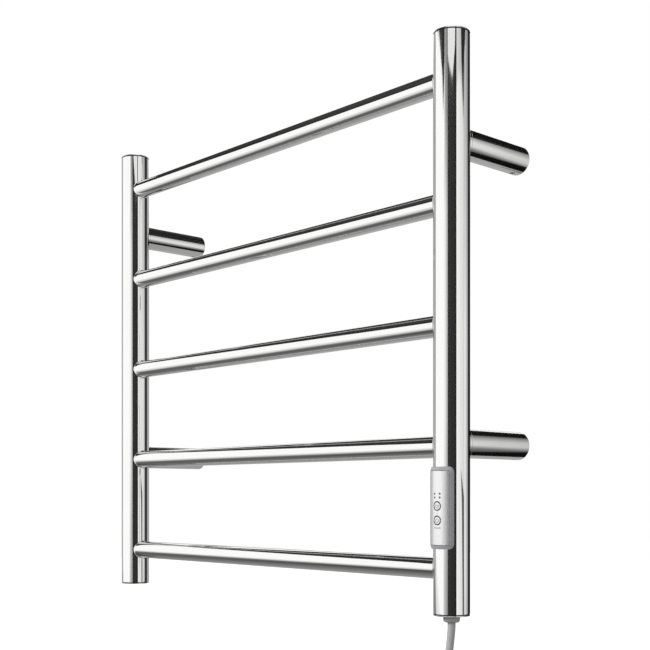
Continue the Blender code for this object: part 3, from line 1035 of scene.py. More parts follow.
@dataclass
class Plug:
    """A moulded plug that hangs pins down, with a flexible ribbed tail."""

    x: float = 241.6 * MM
    y: float = -60.68 * MM
    top: float = -468.5 * MM
    tail: float = 16.0 * MM
    tail_top_r: float = 4.6 * MM
    tail_foot_r: float = 8.0 * MM
    ribs: int = 5
    width: float = 24.0 * MM
    depth: float = 27.0 * MM
    height: float = 28.0 * MM
    blade: float = 17.0 * MM
    pin: float = 20.0 * MM

    @property
    def face(self) -> float:
        """The height of the face that the contacts come out of."""
        return self.top - self.tail - self.height - GAP

    def build_body(self) -> bpy.types.Object:
        """The grip, narrower towards the flex, with finger grooves and the ribbed tail.

        Returns:
            The body.
        """
        middle = self.top - self.tail - self.height / 2
        bm = solid_block((self.width, self.depth, self.height), (0, 0, 0))
        shoulder = [vert for vert in bm.verts if vert.co.z > 0]
        bmesh.ops.scale(bm, vec=(0.86, 0.8, 1.0), verts=shoulder)
        upright = [e for e in bm.edges if abs(e.verts[0].co.z - e.verts[1].co.z) > self.height / 2]
        soften(bm, upright, 6 * MM, 8)
        rims = [e for e in bm.edges if abs(e.verts[0].co.z - e.verts[1].co.z) < 1e-6]
        top_rim = [e for e in rims if e.verts[0].co.z > 0]
        foot_rim = [e for e in rims if e.verts[0].co.z < 0]
        soften(bm, top_rim, 3.2 * MM, 6)
        foot_rim = [e for e in foot_rim if e.is_valid]
        soften(bm, foot_rim, 1.2 * MM, 4)
        bmesh.ops.translate(bm, vec=(self.x, self.y, middle), verts=bm.verts)
        body = make_object("plug_grip", bm)
        pierce(body, self.finger_grooves(middle))
        pierce(body, self.tail_solid(), "UNION")
        return hand_over(body, GLAND_PLASTIC, ("plug_body",))

    def finger_grooves(self, middle: float) -> bmesh.types.BMesh:
        """Shallow grooves across both sides of the grip.

        Args:
            middle: The height of the grip's middle.

        Returns:
            The rods that cut them.
        """
        rods = []
        for side in (-1, 1):
            for i in range(4):
                where = (
                    self.x + side * (self.width / 2 + 0.5 * MM), self.y,
                    middle + (i - 2.2) * 4.2 * MM,
                )
                rods.append(solid_rod(1.3 * MM, self.depth * 0.56, 24, where, Along.Y))
        return joined(rods)

    def tail_solid(self) -> bmesh.types.BMesh:
        """The tapered tail with a row of grooves that let it bend.

        Returns:
            The tail as a solid.
        """
        profile: Profile = [(0.0, 0.0), (self.tail_top_r - 0.6 * MM, 0.0)]
        profile += arc((self.tail_top_r - 0.6 * MM, -0.6 * MM), 0.6 * MM, 90, 0, 4)[1:]
        step = (self.tail - 2 * MM) / self.ribs
        for i in range(self.ribs):
            high = -1.4 * MM - i * step
            groove_r = self.tail_at(high - 0.3 * step) - 0.8 * MM
            profile += [
                (self.tail_at(high), high),
                (groove_r + 0.1 * MM, high - 0.12 * step),
                (groove_r + 0.1 * MM, high - 0.38 * step),
                (self.tail_at(high - 0.5 * step), high - 0.5 * step),
            ]
        foot = -self.tail - 4 * MM
        profile += [(self.tail_at(foot), foot), (0.0, foot)]
        bm = lathe(profile, 64)
        bmesh.ops.translate(bm, vec=(self.x, self.y, self.top), verts=bm.verts)
        return bm

    def tail_at(self, height: float) -> float:
        """The tail's radius at a height below its top."""
        share = min(1.0, -height / (self.tail + 4 * MM))
        return self.tail_top_r + (self.tail_foot_r - self.tail_top_r) * share

    def build_blade(self, name: str, side: int, wide: float) -> bpy.types.Object:
        """One flat contact with rounded tips.

        Args:
            name: The node that it stands for.
            side: -1 for left and 1 for right.
            wide: How wide it is.

        Returns:
            The contact.
        """
        bm = solid_block((1.5 * MM, wide, self.blade), (0, 0, 0))
        corners = [e for e in bm.edges if abs(e.verts[0].co.x - e.verts[1].co.x) > 1 * MM]
        tips = [e for e in corners if e.verts[0].co.z < 0]
        soften(bm, tips, 1.4 * MM, 5)
        sharp = [e for e in bm.edges if len(e.link_faces) == 2 and e.calc_face_angle() > 1.0]
        soften(bm, sharp, 0.25 * MM, 2)
        where = (self.x + side * 6.35 * MM, self.y - 5.5 * MM, self.face - self.blade / 2)
        bmesh.ops.translate(bm, vec=where, verts=bm.verts)
        blade = make_object(name.replace("plug_", ""), bm)
        return hand_over(blade, CONTACT_BRASS, (name,))

    def build_pin(self) -> bpy.types.Object:
        """The round earth pin with a bullet tip.

        Returns:
            The pin.
        """
        radius = 2.4 * MM
        profile: Profile = [(0.0, 0.0), (radius, 0.0)]
        profile += arc((radius - 2.0 * MM, -self.pin + 2.0 * MM), 2.0 * MM, 0, -90, 8)
        profile += [(0.0, -self.pin)]
        bm = lathe(profile, 48)
        bmesh.ops.translate(bm, vec=(self.x, self.y + 6.4 * MM, self.face), verts=bm.verts)
        return hand_over(make_object("earth_pin", bm), CONTACT_BRASS, ("plug_earth_pin",))

    def build(self) -> list[bpy.types.Object]:
        """Build the plug.

        Returns:
            Its pieces.
        """
        return [
            self.build_body(),
            self.build_blade("plug_neutral_blade", -1, 7.9 * MM),
            self.build_blade("plug_live_blade", 1, 6.35 * MM),
            self.build_pin(),
        ]


# ------------------------------------------------------------------------------- ladder


@dataclass
class Ladder:
    """The posts with their end caps, and the rungs with their weld fillets."""

    spacing: float = 491.0 * MM
    post_y: float = -92.5 * MM
    top: float = 222.0 * MM
    bottom: float = -278.0 * MM
    post_r: float = 15.9 * MM
    post_wall: float = 1.2 * MM
    post_sides: int = 128
    rung_r: float = 9.5 * MM
    rung_wall: float = 1.0 * MM
    rung_sides: int = 96
    rung_pitch: float = 105.0 * MM
    rungs: int = 5
    first_rung_down: float = 40.0 * MM
    rung_end: float = 11.0 * MM
    fillet: float = 1.1 * MM
    cap_lip: float = 1.1 * MM
    cap_seam: float = 0.8 * MM
    cap_spigot: float = 10.0 * MM
    gland_hole_r: float = 6.3 * MM
    standoff_z: float = 130.0 * MM
    stud_r: float = 4.0 * MM
    unit_z: float = -185.5 * MM
    window: Point = (6.2 * MM, -17.0 * MM, 15.5 * MM)

    @property
    def rung_heights(self) -> list[float]:
        """The heights of the rungs, from the top."""
        return [self.top - self.first_rung_down - i * self.rung_pitch for i in range(self.rungs)]

    def build_post(self, side: Side) -> bpy.types.Object:
        """One post: a drawn tube with its rung, stud and control holes.

        Args:
            side: Which post.

        Returns:
            The post.
        """
        x = side.value * self.spacing / 2
        high = self.top - self.cap_lip - self.cap_seam
        low = self.bottom + self.cap_lip + self.cap_seam
        bore, edge = self.post_r - self.post_wall, 0.25 * MM
        profile: Profile = [
            (bore, low),
            (self.post_r - edge, low),
            (self.post_r, low + edge),
            (self.post_r, high - edge),
            (self.post_r - edge, high),
            (bore, high),
        ]
        bm = lathe(profile, self.post_sides)
        bmesh.ops.translate(bm, vec=(x, self.post_y, 0), verts=bm.verts)
        post = make_object(side.word + "_post_tube", bm)
        holes = [
            solid_rod(
                self.rung_r + GAP, 2 * self.post_r - 2 * MM, 64,
                (x - side.value * self.post_r, self.post_y, z), Along.X,
            )
            for z in self.rung_heights
        ]
        holes += [
            solid_rod(
                self.stud_r + GAP, self.post_r, 32, (x, self.post_y + self.post_r, z), Along.Y
            )
            for z in (self.standoff_z, -self.standoff_z)
        ]
        if side is Side.RIGHT:
            half_width, window_low, window_high = self.window
            middle = self.unit_z + (window_low + window_high) / 2
            size = (2 * half_width, self.post_r, window_high - window_low)
            holes.append(solid_block(size, (x, self.post_y - self.post_r, middle)))
        pierce(post, joined(holes))
        true_round(post, (x, self.post_y, 0), Along.Z, self.post_r)
        return hand_over(post, POST_STEEL, (side.word + "_post",))

    def build_cap(self, side: Side, up: bool) -> bpy.types.Object:
        """One end cap: a turned disc with a rounded rim and a spigot inside the post.

        Args:
            side: Which post.
            up: Whether it is the top one.

        Returns:
            The cap.
        """
        rim, edge = 0.7 * MM, 0.25 * MM
        spigot_r = self.post_r - self.post_wall - GAP
        cup_r = spigot_r - 1.2 * MM
        bored = side is Side.RIGHT and not up
        centre = self.gland_hole_r if bored else 0.0
        profile: Profile = [(centre, 0.0)]
        profile += arc((self.post_r - rim, -rim), rim, 90, 0, 6)
        profile += [
            (self.post_r, -self.cap_lip + edge),
            (self.post_r - edge, -self.cap_lip),
            (spigot_r, -self.cap_lip),
            (spigot_r, -self.cap_spigot),
            (cup_r, -self.cap_spigot),
            (cup_r, -self.cap_lip),
            (centre, -self.cap_lip),
        ]
        bm = lathe(profile, self.post_sides)
        where = Matrix.Translation(
            (side.value * self.spacing / 2, self.post_y, self.top if up else self.bottom)
        )
        turn = Matrix.Identity(4) if up else Matrix.Rotation(math.pi, 4, "X")
        bmesh.ops.transform(bm, matrix=where @ turn, verts=bm.verts)
        end = "top" if up else "bottom"
        cap = make_object(f"{side.word}_{end}_end_cap", bm)
        hand_over(cap, POST_STEEL, (f"{side.word}_{end}_cap",))
        # The spigot faces down in the seam groove take the near-black second finish: painted shade
        # in the seam between cap and post.
        cap.data.materials.append(SEAM_SHADE_PAINT.material())
        for face in cap.data.polygons:
            reach = (face.center - where.translation).xy.length
            down = abs(face.center.z - where.translation.z)
            face.material_index = int(down > self.cap_lip - edge / 2 and reach < self.post_r - edge)
        return cap

    def build_rung(self, number: int, z: float) -> bpy.types.Object:
        """One rung: a tube whose ends sit in the posts behind a small weld fillet.

        Args:
            number: Its number from the top.
            z: Its height.

        Returns:
            The rung.
        """
        skin = self.spacing / 2 - self.post_r
        end = self.spacing / 2 - self.rung_end
        bore, r, f = self.rung_r - self.rung_wall, self.rung_r, self.fillet
        seat = skin - 0.02 * MM
        bead = arc((r + f, seat - f), f, 90, 180, 7)
        half: Profile = [(bore, end), (r, end), (r, seat), *bead]
        profile = [(radius, x) for radius, x in half]
        profile += [(radius, -x) for radius, x in reversed(half)]
        bm = lathe(profile, self.rung_sides)
        for vert in bm.verts:
            if skin - f - 0.1 * MM < abs(vert.co.z) < skin + 0.1 * MM:
                depth = vert.co.y
                wrap = self.post_r - math.sqrt(self.post_r**2 - depth**2)
                vert.co.z += math.copysign(wrap, vert.co.z)
        matrix = Matrix.Translation((0, self.post_y, z)) @ Along.X.turn
        bmesh.ops.transform(bm, matrix=matrix, verts=bm.verts)
        rung = make_object(f"rung_tube_{number}", bm, crease=40.0)
        return hand_over(rung, RUNG_STEEL, (f"rung_{number}",))

    def build(self) -> None:
        """Build the whole ladder."""
        for side in Side:
            self.build_post(side)
            self.build_cap(side, up=True)
            self.build_cap(side, up=False)
        for number, z in enumerate(self.rung_heights, start=1):
            self.build_rung(number, z)


@dataclass
class Standoff:
    """One wall standoff: a sleeve, the saddle that meets the post, and the base on the wall."""

    side: Side
    level: Level
    post_x: float = 245.5 * MM
    post_to_wall: float = 92.5 * MM
    post_r: float = 15.9 * MM
    height: float = 130.0 * MM
    radius: float = 12.7 * MM
    bore_r: float = 11.2 * MM
    web: float = 12.0 * MM
    saddle: float = 1.9 * MM
    reach: float = 9.0 * MM
    stud_r: float = 4.0 * MM
    base_r: float = 10.9 * MM
    base_length: float = 18.0 * MM
    grub_to_wall: float = 10.0 * MM
    grub_r: float = 2.5 * MM
    sides: int = 112

    @property
    def word(self) -> str:
        """The start of its nodes' names."""
        return f"{self.level.value}_{self.side.word}"

    @property
    def x(self) -> float:
        """Its place across the rack."""
        return self.side.value * self.post_x

    @property
    def z(self) -> float:
        """Its height."""
        return self.height if self.level is Level.UPPER else -self.height

    @property
    def front(self) -> float:
        """From the wall to the ends that wrap round the post, before they are shaped."""
        return self.post_to_wall - self.reach

    def wrapper(self, radius: float) -> bmesh.types.BMesh:
        """A solid about the post's axis, to shape an end that wraps round the post."""
        where = (self.x, -self.post_to_wall, self.z)
        return solid_rod(radius, 4 * self.radius, 128, where, Along.Z)

    def turned(self, name: str, profile: Profile) -> bpy.types.Object:
        """A turned piece whose profile's heights go from the wall towards the room.

        Args:
            name: The end of its name.
            profile: Its half section.

        Returns:
            The piece.
        """
        bm = lathe(profile, self.sides)
        matrix = Matrix.Translation((self.x, 0, self.z)) @ Matrix.Rotation(math.pi / 2, 4, "X")
        bmesh.ops.transform(bm, matrix=matrix, verts=bm.verts)
        return make_object(f"{self.word}_{name}", bm)

    def build_sleeve(self) -> bpy.types.Object:
        """The visible sleeve, with the hole for its grub screw underneath.

        Returns:
            The sleeve.
        """
        rim, start = 0.5 * MM, GAP
        hole_r = self.stud_r + GAP
        cope = self.post_r + self.saddle + GAP / 2
        back = self.post_to_wall - cope - self.web
        profile: Profile = [(hole_r, self.front), (self.radius, self.front)]
        profile += arc((self.radius - rim, start + rim), rim, 0, -90, 4)
        profile += [(self.bore_r, start), (self.bore_r, back), (hole_r, back)]
        sleeve = self.turned("sleeve", profile)
        pierce(sleeve, self.wrapper(cope))
        where = (self.x, -self.grub_to_wall, self.z - self.radius)
        pierce(sleeve, solid_rod(self.grub_r + GAP, self.radius, 40, where, Along.Z))
        true_round(sleeve, (self.x, 0, self.z), Along.Y, self.radius)
        return hand_over(sleeve, STANDOFF_STEEL, (self.word + "_standoff",))

    def build_saddle(self) -> bpy.types.Object:
        """The thin collar that follows the back of the post.

        Returns:
            The collar.
        """
        hole_r, outer = self.stud_r + GAP, self.post_r + self.saddle
        low = self.post_to_wall - outer - 1 * MM
        profile: Profile = [
            (hole_r, self.front), (self.radius, self.front), (self.radius, low), (hole_r, low)
        ]
        saddle = self.turned("collar", profile)
        pierce(saddle, self.wrapper(outer), operation="INTERSECT")
        pierce(saddle, self.wrapper(self.post_r + GAP / 2))
        true_round(saddle, (self.x, 0, self.z), Along.Y, self.radius)
        return hand_over(saddle, STANDOFF_STEEL, (self.word + "_saddle",))

    def build_base(self) -> bpy.types.Object:
        """The base that screws to the wall, with the groove the grub screw bites in.

        Returns:
            The base.
        """
        screw_r, groove_r = 2.75 * MM, self.base_r - 2.3 * MM
        r, length, grub = self.base_r, self.base_length, self.grub_to_wall
        profile: Profile = [(screw_r, length - 3 * MM), (5.5 * MM, length), (r - 1 * MM, length)]
        profile += arc((r - 1 * MM, length - 1 * MM), 1 * MM, 90, 0, 4)[1:]
        profile += [
            (r, grub + 5 * MM),
            (groove_r, grub + 3 * MM),
            (groove_r, grub - 3 * MM),
            (r, grub - 5 * MM),
            (r, 0.3 * MM),
            (r - 0.3 * MM, 0.0),
            (screw_r + 0.4 * MM, 0.0),
            (screw_r, 0.4 * MM),
        ]
        base = self.turned("base", profile)
        return hand_over(base, ZINC, (self.word + "_wall_base",))

    def build_grub_screw(self) -> bpy.types.Object:
        """The grub screw with its hexagon socket and a turned chamfer.

        Returns:
            The screw.
        """
        tip = self.base_r - 2.3 * MM + GAP
        end = self.radius - 0.7 * MM
        r, chamfer = self.grub_r, 0.3 * MM
        profile: Profile = [
            (0.0, -tip), (r - 0.6 * MM, -tip), (r, -tip - 0.6 * MM),
            (r, -end + chamfer), (r - chamfer, -end), (0.0, -end),
        ]
        bm = lathe(profile, 40)
        where = (self.x, -self.grub_to_wall, self.z)
        bmesh.ops.translate(bm, vec=where, verts=bm.verts)
        screw = make_object(self.word + "_set_screw", bm)
        socket = solid_rod(1.3 * MM, 3.6 * MM, 6, (where[0], where[1], where[2] - end), Along.Z)
        pierce(screw, socket)
        return hand_over(screw, ZINC, (self.word + "_grub_screw",))

    def build(self) -> None:
        """Build the standoff's pieces."""
        self.build_sleeve()
        self.build_saddle()
        self.build_base()
        self.build_grub_screw()


# ------------------------------------------------------------------------- control unit


@dataclass
class ControlUnit:
    """The control unit on the front of the right post: bezel, plate, two keys and their marks."""

    post_x: float = 245.5 * MM
    post_y: float = -92.5 * MM
    middle: float = -185.5 * MM
    post_r: float = 15.9 * MM
    face_r: float = 18.6 * MM
    height: float = 70.0 * MM
    arc_width: float = math.radians(96.8)
    corner: float = 5.0 * MM
    slope: float = 3.4 * MM
    plate_height: float = 63.0 * MM
    plate_arc: float = math.radians(68.8)
    plate_depth: float = 1.0 * MM
    key_r: float = 3.7 * MM
    key_pitch: float = 12.2 * MM
    timer_up: float = 1.6 * MM
    key_proud: float = 0.2 * MM
    lights_up: float = 10.4 * MM
    key_gap: float = 0.55 * MM
    light_step: tuple[float, float] = (5.6 * MM, 3.2 * MM)
    light_r: float = 0.65 * MM
    window: Point = (6.2 * MM, -17.0 * MM, 15.5 * MM)
    columns: int = 56

    def wrap(self, bm: bmesh.types.BMesh, inner_r: float) -> None:
        """Bend a flat piece round the post.

        Args:
            bm: The piece, its width along X, its height along Y and its depth along Z.
            inner_r: The distance of its back from the post's axis.
        """
        for vert in bm.verts:
            angle = vert.co.x / self.face_r
            radius = inner_r + vert.co.z
            vert.co = (radius * math.sin(angle), -radius * math.cos(angle), vert.co.y)
        bmesh.ops.translate(bm, vec=(self.post_x, self.post_y, self.middle), verts=bm.verts)
        bmesh.ops.recalc_face_normals(bm, faces=bm.faces)

    def split_columns(self, bm: bmesh.types.BMesh, half_width: float) -> None:
        """Cut a flat piece into columns, so that it can be bent.

        Args:
            bm: The flat piece.
            half_width: Half its width.
        """
        for i in range(1, self.columns):
            middle = half_width * (2 * i / self.columns - 1)
            bmesh.ops.bisect_plane(
                bm, geom=bm.verts[:] + bm.edges[:] + bm.faces[:],
                plane_co=(middle, 0, 0), plane_no=(1, 0, 0),
            )

    def slab(
        self, half_angle: float, half_height: float, corner: float, inner_r: float, outer_r: float,
        slope: float = 0.0, lip: float = 0.0,
    ) -> bmesh.types.BMesh:
        """A rounded slab bent round the post.

        Args:
            half_angle: Half its width, as an angle at the post's axis.
            half_height: Half its height.
            corner: The radius of its corners.
            inner_r: From the axis to its back.
            outer_r: From the axis to its front.
            slope: How far its sides lean in above the rim, 0 for upright sides.
            lip: The rounding of its front edge.

        Returns:
            The bent slab.
        """
        half_width = half_angle * self.face_r
        bm = bmesh.new()
        bmesh.ops.create_grid(bm, x_segments=1, y_segments=1, size=1.0)
        bmesh.ops.scale(bm, vec=(half_width, half_height, 1), verts=bm.verts)
        bmesh.ops.bevel(
            bm, geom=bm.verts[:], offset=corner, segments=10, profile=0.5,
            affect="VERTICES", material=-1,
        )
        rim = (outer_r - inner_r) * 0.3 if slope else outer_r - inner_r
        raised = bmesh.ops.extrude_face_region(bm, geom=bm.faces[:])["geom"]
        lifted = [item for item in raised if isinstance(item, bmesh.types.BMVert)]
        bmesh.ops.translate(bm, vec=(0, 0, rim), verts=lifted)
        top = [item for item in raised if isinstance(item, bmesh.types.BMFace)]
        if slope:
            bmesh.ops.inset_region(bm, faces=top, thickness=slope, use_even_offset=True)
            lifted = list({vert for face in top for vert in face.verts})
            bmesh.ops.translate(bm, vec=(0, 0, outer_r - inner_r - rim), verts=lifted)
        if lip:
            edges = list({edge for face in top for edge in face.edges if len(edge.link_faces) == 2})
            soften(bm, edges, lip, 4)
        self.split_columns(bm, half_width)
        self.wrap(bm, inner_r)
        return bm

    def slot(self) -> bmesh.types.BMesh:
        """The opening behind the plate for the switches and the lights.

        Returns:
            The solid that cuts it.
        """
        half_width, low, high = self.window
        size = (2 * half_width, 8 * MM, high - low)
        where = (self.post_x, self.post_y - self.face_r, self.middle + (low + high) / 2)
        return solid_block(size, where)

    @property
    def key_heights(self) -> dict[str, float]:
        """The height of each key, by its word."""
        timer = self.middle + self.timer_up
        return {"timer": timer, "power": timer - self.key_pitch}

    def build_gasket(self) -> None:
        """The thin gasket between the bezel and the post."""
        inner_r = self.post_r + GAP
        half_angle = self.arc_width / 2 - 0.08
        bm = self.slab(
            half_angle, self.height / 2 - 1.5 * MM, 3.5 * MM, inner_r, inner_r + 0.5 * MM
        )
        gasket = make_object("unit_gasket", bm)
        pierce(gasket, self.slot())
        hand_over(gasket, SEAL_RUBBER, ("control_gasket",))

    def build_bezel(self) -> None:
        """The plastic bezel with its sloping sides and the pocket for the plate."""
        inner_r = self.post_r + 2 * GAP + 0.5 * MM
        bm = self.slab(
            self.arc_width / 2, self.height / 2, self.corner, inner_r, self.face_r, self.slope,
            0.45 * MM,
        )
        bezel = make_object("unit_bezel", bm, crease=30.0)
        pocket = self.slab(
            self.plate_arc / 2 + 0.02, self.plate_height / 2 + GAP, 1.2 * MM,
            self.face_r - self.plate_depth - GAP, self.face_r + 3 * MM,
        )
        pierce(bezel, pocket, crease=30.0)
        pierce(bezel, self.slot(), crease=30.0)
        hand_over(bezel, BEZEL_PLASTIC, ("control_bezel",))

    def build_plate(self) -> None:
        """The silver plate, bored for the keys and the lights."""
        bm = self.slab(
            self.plate_arc / 2, self.plate_height / 2, 1.0 * MM, self.face_r - self.plate_depth,
            self.face_r + 0.1 * MM, lip=0.25 * MM,
        )
        plate = make_object("unit_plate", bm, crease=30.0)
        front = self.post_y - self.face_r
        holes = [
            solid_rod(self.key_r + self.key_gap, 8 * MM, 64, (self.post_x, front, z), Along.Y)
            for z in self.key_heights.values()
        ]
        lights = self.middle + self.lights_up
        for side in (-0.5, 0.5):
            for up in (-0.5, 0.5):
                where = (
                    self.post_x + side * self.light_step[0], front, lights + up * self.light_step[1]
                )
                holes.append(solid_rod(self.light_r + GAP, 8 * MM, 24, where, Along.Y))
        pierce(plate, joined(holes), crease=30.0)
        true_round(plate, (self.post_x, self.post_y, 0), Along.Z, self.face_r + 0.1 * MM)
        hand_over(plate, PLATE_LACQUER, ("control_plate",))

    def build_key(self, word: str, z: float) -> None:
        """One key: a turned button whose face follows the plate's curve.

        Args:
            word: The key's word, timer or power.
            z: Its height.
        """
        shoulder, back, edge = 16.3 * MM, 14.4 * MM, 0.3 * MM
        face = self.face_r + self.key_proud
        profile: Profile = [(0.0, face), (self.key_r * 0.35, face), (self.key_r * 0.7, face)]
        profile += arc((self.key_r - edge, face - edge), edge, 90, 0, 4)
        profile += [
            (self.key_r, shoulder), (self.key_r + 0.6 * MM, shoulder),
            (self.key_r + 0.6 * MM, back), (0.0, back),
        ]
        bm = lathe(profile, 64)
        for vert in bm.verts:
            if vert.co.z > shoulder + 0.5 * MM:
                vert.co.z -= face - math.sqrt(face**2 - vert.co.x**2)
        matrix = Matrix.Translation((self.post_x, self.post_y, z)) @ Matrix.Rotation(
            math.pi / 2, 4, "X"
        )
        bmesh.ops.transform(bm, matrix=matrix, verts=bm.verts)
        key = make_object(word + "_key_cap", bm)
        hand_over(key, KEY_PLASTIC, (word + "_button",), body=word + "_key")

    @staticmethod
    def stroke(
        radius: float, width: float, start: float, sweep: float, where: tuple[float, float]
    ) -> bmesh.types.BMesh:
        """A flat arc of ink.

        Args:
            radius: The radius of its middle line.
            width: The line's width.
            start: Where it starts, in degrees from +X.
            sweep: How far it goes, in degrees; 360 closes it.
            where: Its centre.

        Returns:
            The flat line.
        """
        bm = bmesh.new()
        turn = Matrix.Rotation(math.radians(start), 4, "Z")
        ends = [bm.verts.new(turn @ Vector((radius + side * width / 2, 0, 0))) for side in (-1, 1)]
        edge = bm.edges.new(ends)
        full = sweep >= 360
        bmesh.ops.spin(
            bm, geom=[*ends, edge], cent=(0, 0, 0), axis=(0, 0, 1), angle=math.radians(sweep),
            steps=max(8, int(sweep / 7)), use_merge=full,
        )
        bmesh.ops.remove_doubles(bm, verts=bm.verts, dist=1e-7)
        bmesh.ops.translate(bm, vec=(*where, 0), verts=bm.verts)
        return bm

    @staticmethod
    def dash(
        length: float, width: float, angle: float, where: tuple[float, float]
    ) -> bmesh.types.BMesh:
        """A flat straight dash of ink.

        Args:
            length: Its length.
            width: Its width.
            angle: Its direction, in degrees from +X.
            where: Its centre.

        Returns:
            The flat dash.
        """
        bm = bmesh.new()
        matrix = Matrix.Translation((*where, 0)) @ Matrix.Rotation(math.radians(angle), 4, "Z")
        matrix = matrix @ Matrix.Diagonal((length / 2, width / 2, 1, 1))
        bmesh.ops.create_grid(bm, x_segments=4, y_segments=1, size=1.0, matrix=matrix)
        return bm

    def print_mark(
        self, name: str, strokes: list[bmesh.types.BMesh], z: float, on_r: float, body: str
    ) -> None:
        """Print flat strokes on the unit's face.

        Args:
            name: The mark's name.
            strokes: Its lines, drawn flat about their own centre.
            z: The height of that centre.
            on_r: The distance of the printed face from the post's axis.
            body: The body that it moves with.
        """
        bm = joined(strokes)
        raised = bmesh.ops.extrude_face_region(bm, geom=bm.faces[:])["geom"]
        lifted = [item for item in raised if isinstance(item, bmesh.types.BMVert)]
        bmesh.ops.translate(bm, vec=(0, 0, 0.05 * MM), verts=lifted)
        bmesh.ops.translate(bm, vec=(0, z - self.middle, 0), verts=bm.verts)
        self.wrap(bm, on_r - 0.02 * MM)
        hand_over(make_object(name, bm), INK, body=body)

    def build_marks(self) -> None:
        """The rings and signs on the keys, and the plain marks on the plate."""
        key_face = self.face_r + self.key_proud
        plate_face = self.face_r + 0.1 * MM
        line, ring = 0.58 * MM, self.key_r - 0.33 * MM
        timer, power = self.key_heights["timer"], self.key_heights["power"]
        clock = [
            self.stroke(ring, line, 0, 360, (0, 0)),
            self.stroke(1.7 * MM, 0.42 * MM, 130, 280, (0, -0.1 * MM)),
            self.dash(1.3 * MM, 0.42 * MM, 90, (0, 0.45 * MM)),
            self.dash(1.0 * MM, 0.42 * MM, 20, (0.42 * MM, -0.05 * MM)),
        ]
        self.print_mark("timer_sign", clock, timer, key_face, "timer_key")
        on_off = [
            self.stroke(ring, line, 0, 360, (0, 0)),
            self.stroke(1.6 * MM, 0.44 * MM, 130, 280, (0, -0.15 * MM)),
            self.dash(1.5 * MM, 0.42 * MM, 90, (0, 1.2 * MM)),
        ]
        self.print_mark("power_sign", on_off, power, key_face, "power_key")
        self.print_mark(
            "middle_dot", [self.stroke(0.2 * MM, 0.39 * MM, 0, 360, (0, 0))], (timer + power) / 2,
            plate_face, RACK,
        )
        bars = [
            self.dash(1.5 * MM, 0.7 * MM, 0, (i * 1.95 * MM, 0)) for i in (-1.5, -0.5, 0.5, 1.5)
        ]
        self.print_mark("plain_bars", bars, self.middle - 17 * MM, plate_face, RACK)

    def build(self) -> None:
        """Build the unit's outer pieces."""
        self.build_gasket()
        self.build_bezel()
        self.build_plate()
        for word, z in self.key_heights.items():
            self.build_key(word, z)
        self.build_marks()


@dataclass
class Gland:
    """The gland at the foot of the right post, through which the flex comes out."""

    x: float = 245.5 * MM
    y: float = -92.5 * MM
    foot: float = -278.0 * MM
    radius: float = 7.25 * MM
    bore: float = 3.8 * MM
    shank_r: float = 6.0 * MM
    drop: float = 5.8 * MM

    def build(self) -> None:
        """A moulded collar with a rounded lower edge and a shank inside the cap."""
        soft = 2.4 * MM
        profile: Profile = [
            (self.bore, 12 * MM), (self.shank_r, 12 * MM), (self.shank_r, -GAP),
            (self.radius - 0.3 * MM, -GAP), (self.radius, -GAP - 0.3 * MM),
        ]
        profile += arc((self.radius - soft, -self.drop + soft), soft, 0, -90, 10)
        profile += arc((self.bore + 0.4 * MM, -self.drop + 0.4 * MM), 0.4 * MM, -90, -180, 4)
        bm = lathe(profile, 96)
        bmesh.ops.translate(bm, vec=(self.x, self.y, self.foot), verts=bm.verts)
        hand_over(make_object("flex_gland", bm), GLAND_PLASTIC, ("cord_gland",))


@dataclass
class InnerPieces:
    """The pieces inside the tubes, which keep their own shapes and only take a finish."""

    finishes: dict[str, Finish] = field(
        default_factory=lambda: {
            "timer_switch": DARK_PLASTIC,
            "power_switch": DARK_PLASTIC,
            "light_guide": LENS,
            "control_board": BOARD,
            "control_module": DARK_PLASTIC,
            "heating_cable": SILICONE,
            "cable_end_seal": SEAL_RUBBER,
            "splice_sleeve": SILICONE,
            "thermal_cutout": ZINC,
            "supply_lead": SILICONE,
            "inner_flex": SHEATH,
            "earth_lead": EARTH_WIRE,
            "earth_tag": CONTACT_BRASS,
            "gland_nut": ZINC,
        }
    )

    def build(self) -> None:
        """Dress each inner node and the studs of the standoffs."""
        studs = {f"{level.value}_{side.word}_stud": ZINC for level in Level for side in Side}
        for name, finish in {**self.finishes, **studs}.items():
            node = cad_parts[name]
            node.data.materials.clear()
            node.data.materials.append(finish.material())
            log.info("%s: dressed with %s", name, finish.name)


# -------------------------------------------------------------------------------- studio


def as_light(grey: float) -> float:
    """The strength of light that polished steel shows as this grey, from 0 to 255.

    Args:
        grey: The grey, as it should show.

    Returns:
        The card's strength.
    """
    share = grey / 255
    linear = share / 12.92 if share <= 0.04045 else ((share + 0.055) / 1.055) ** 2.4
    return linear / 0.83


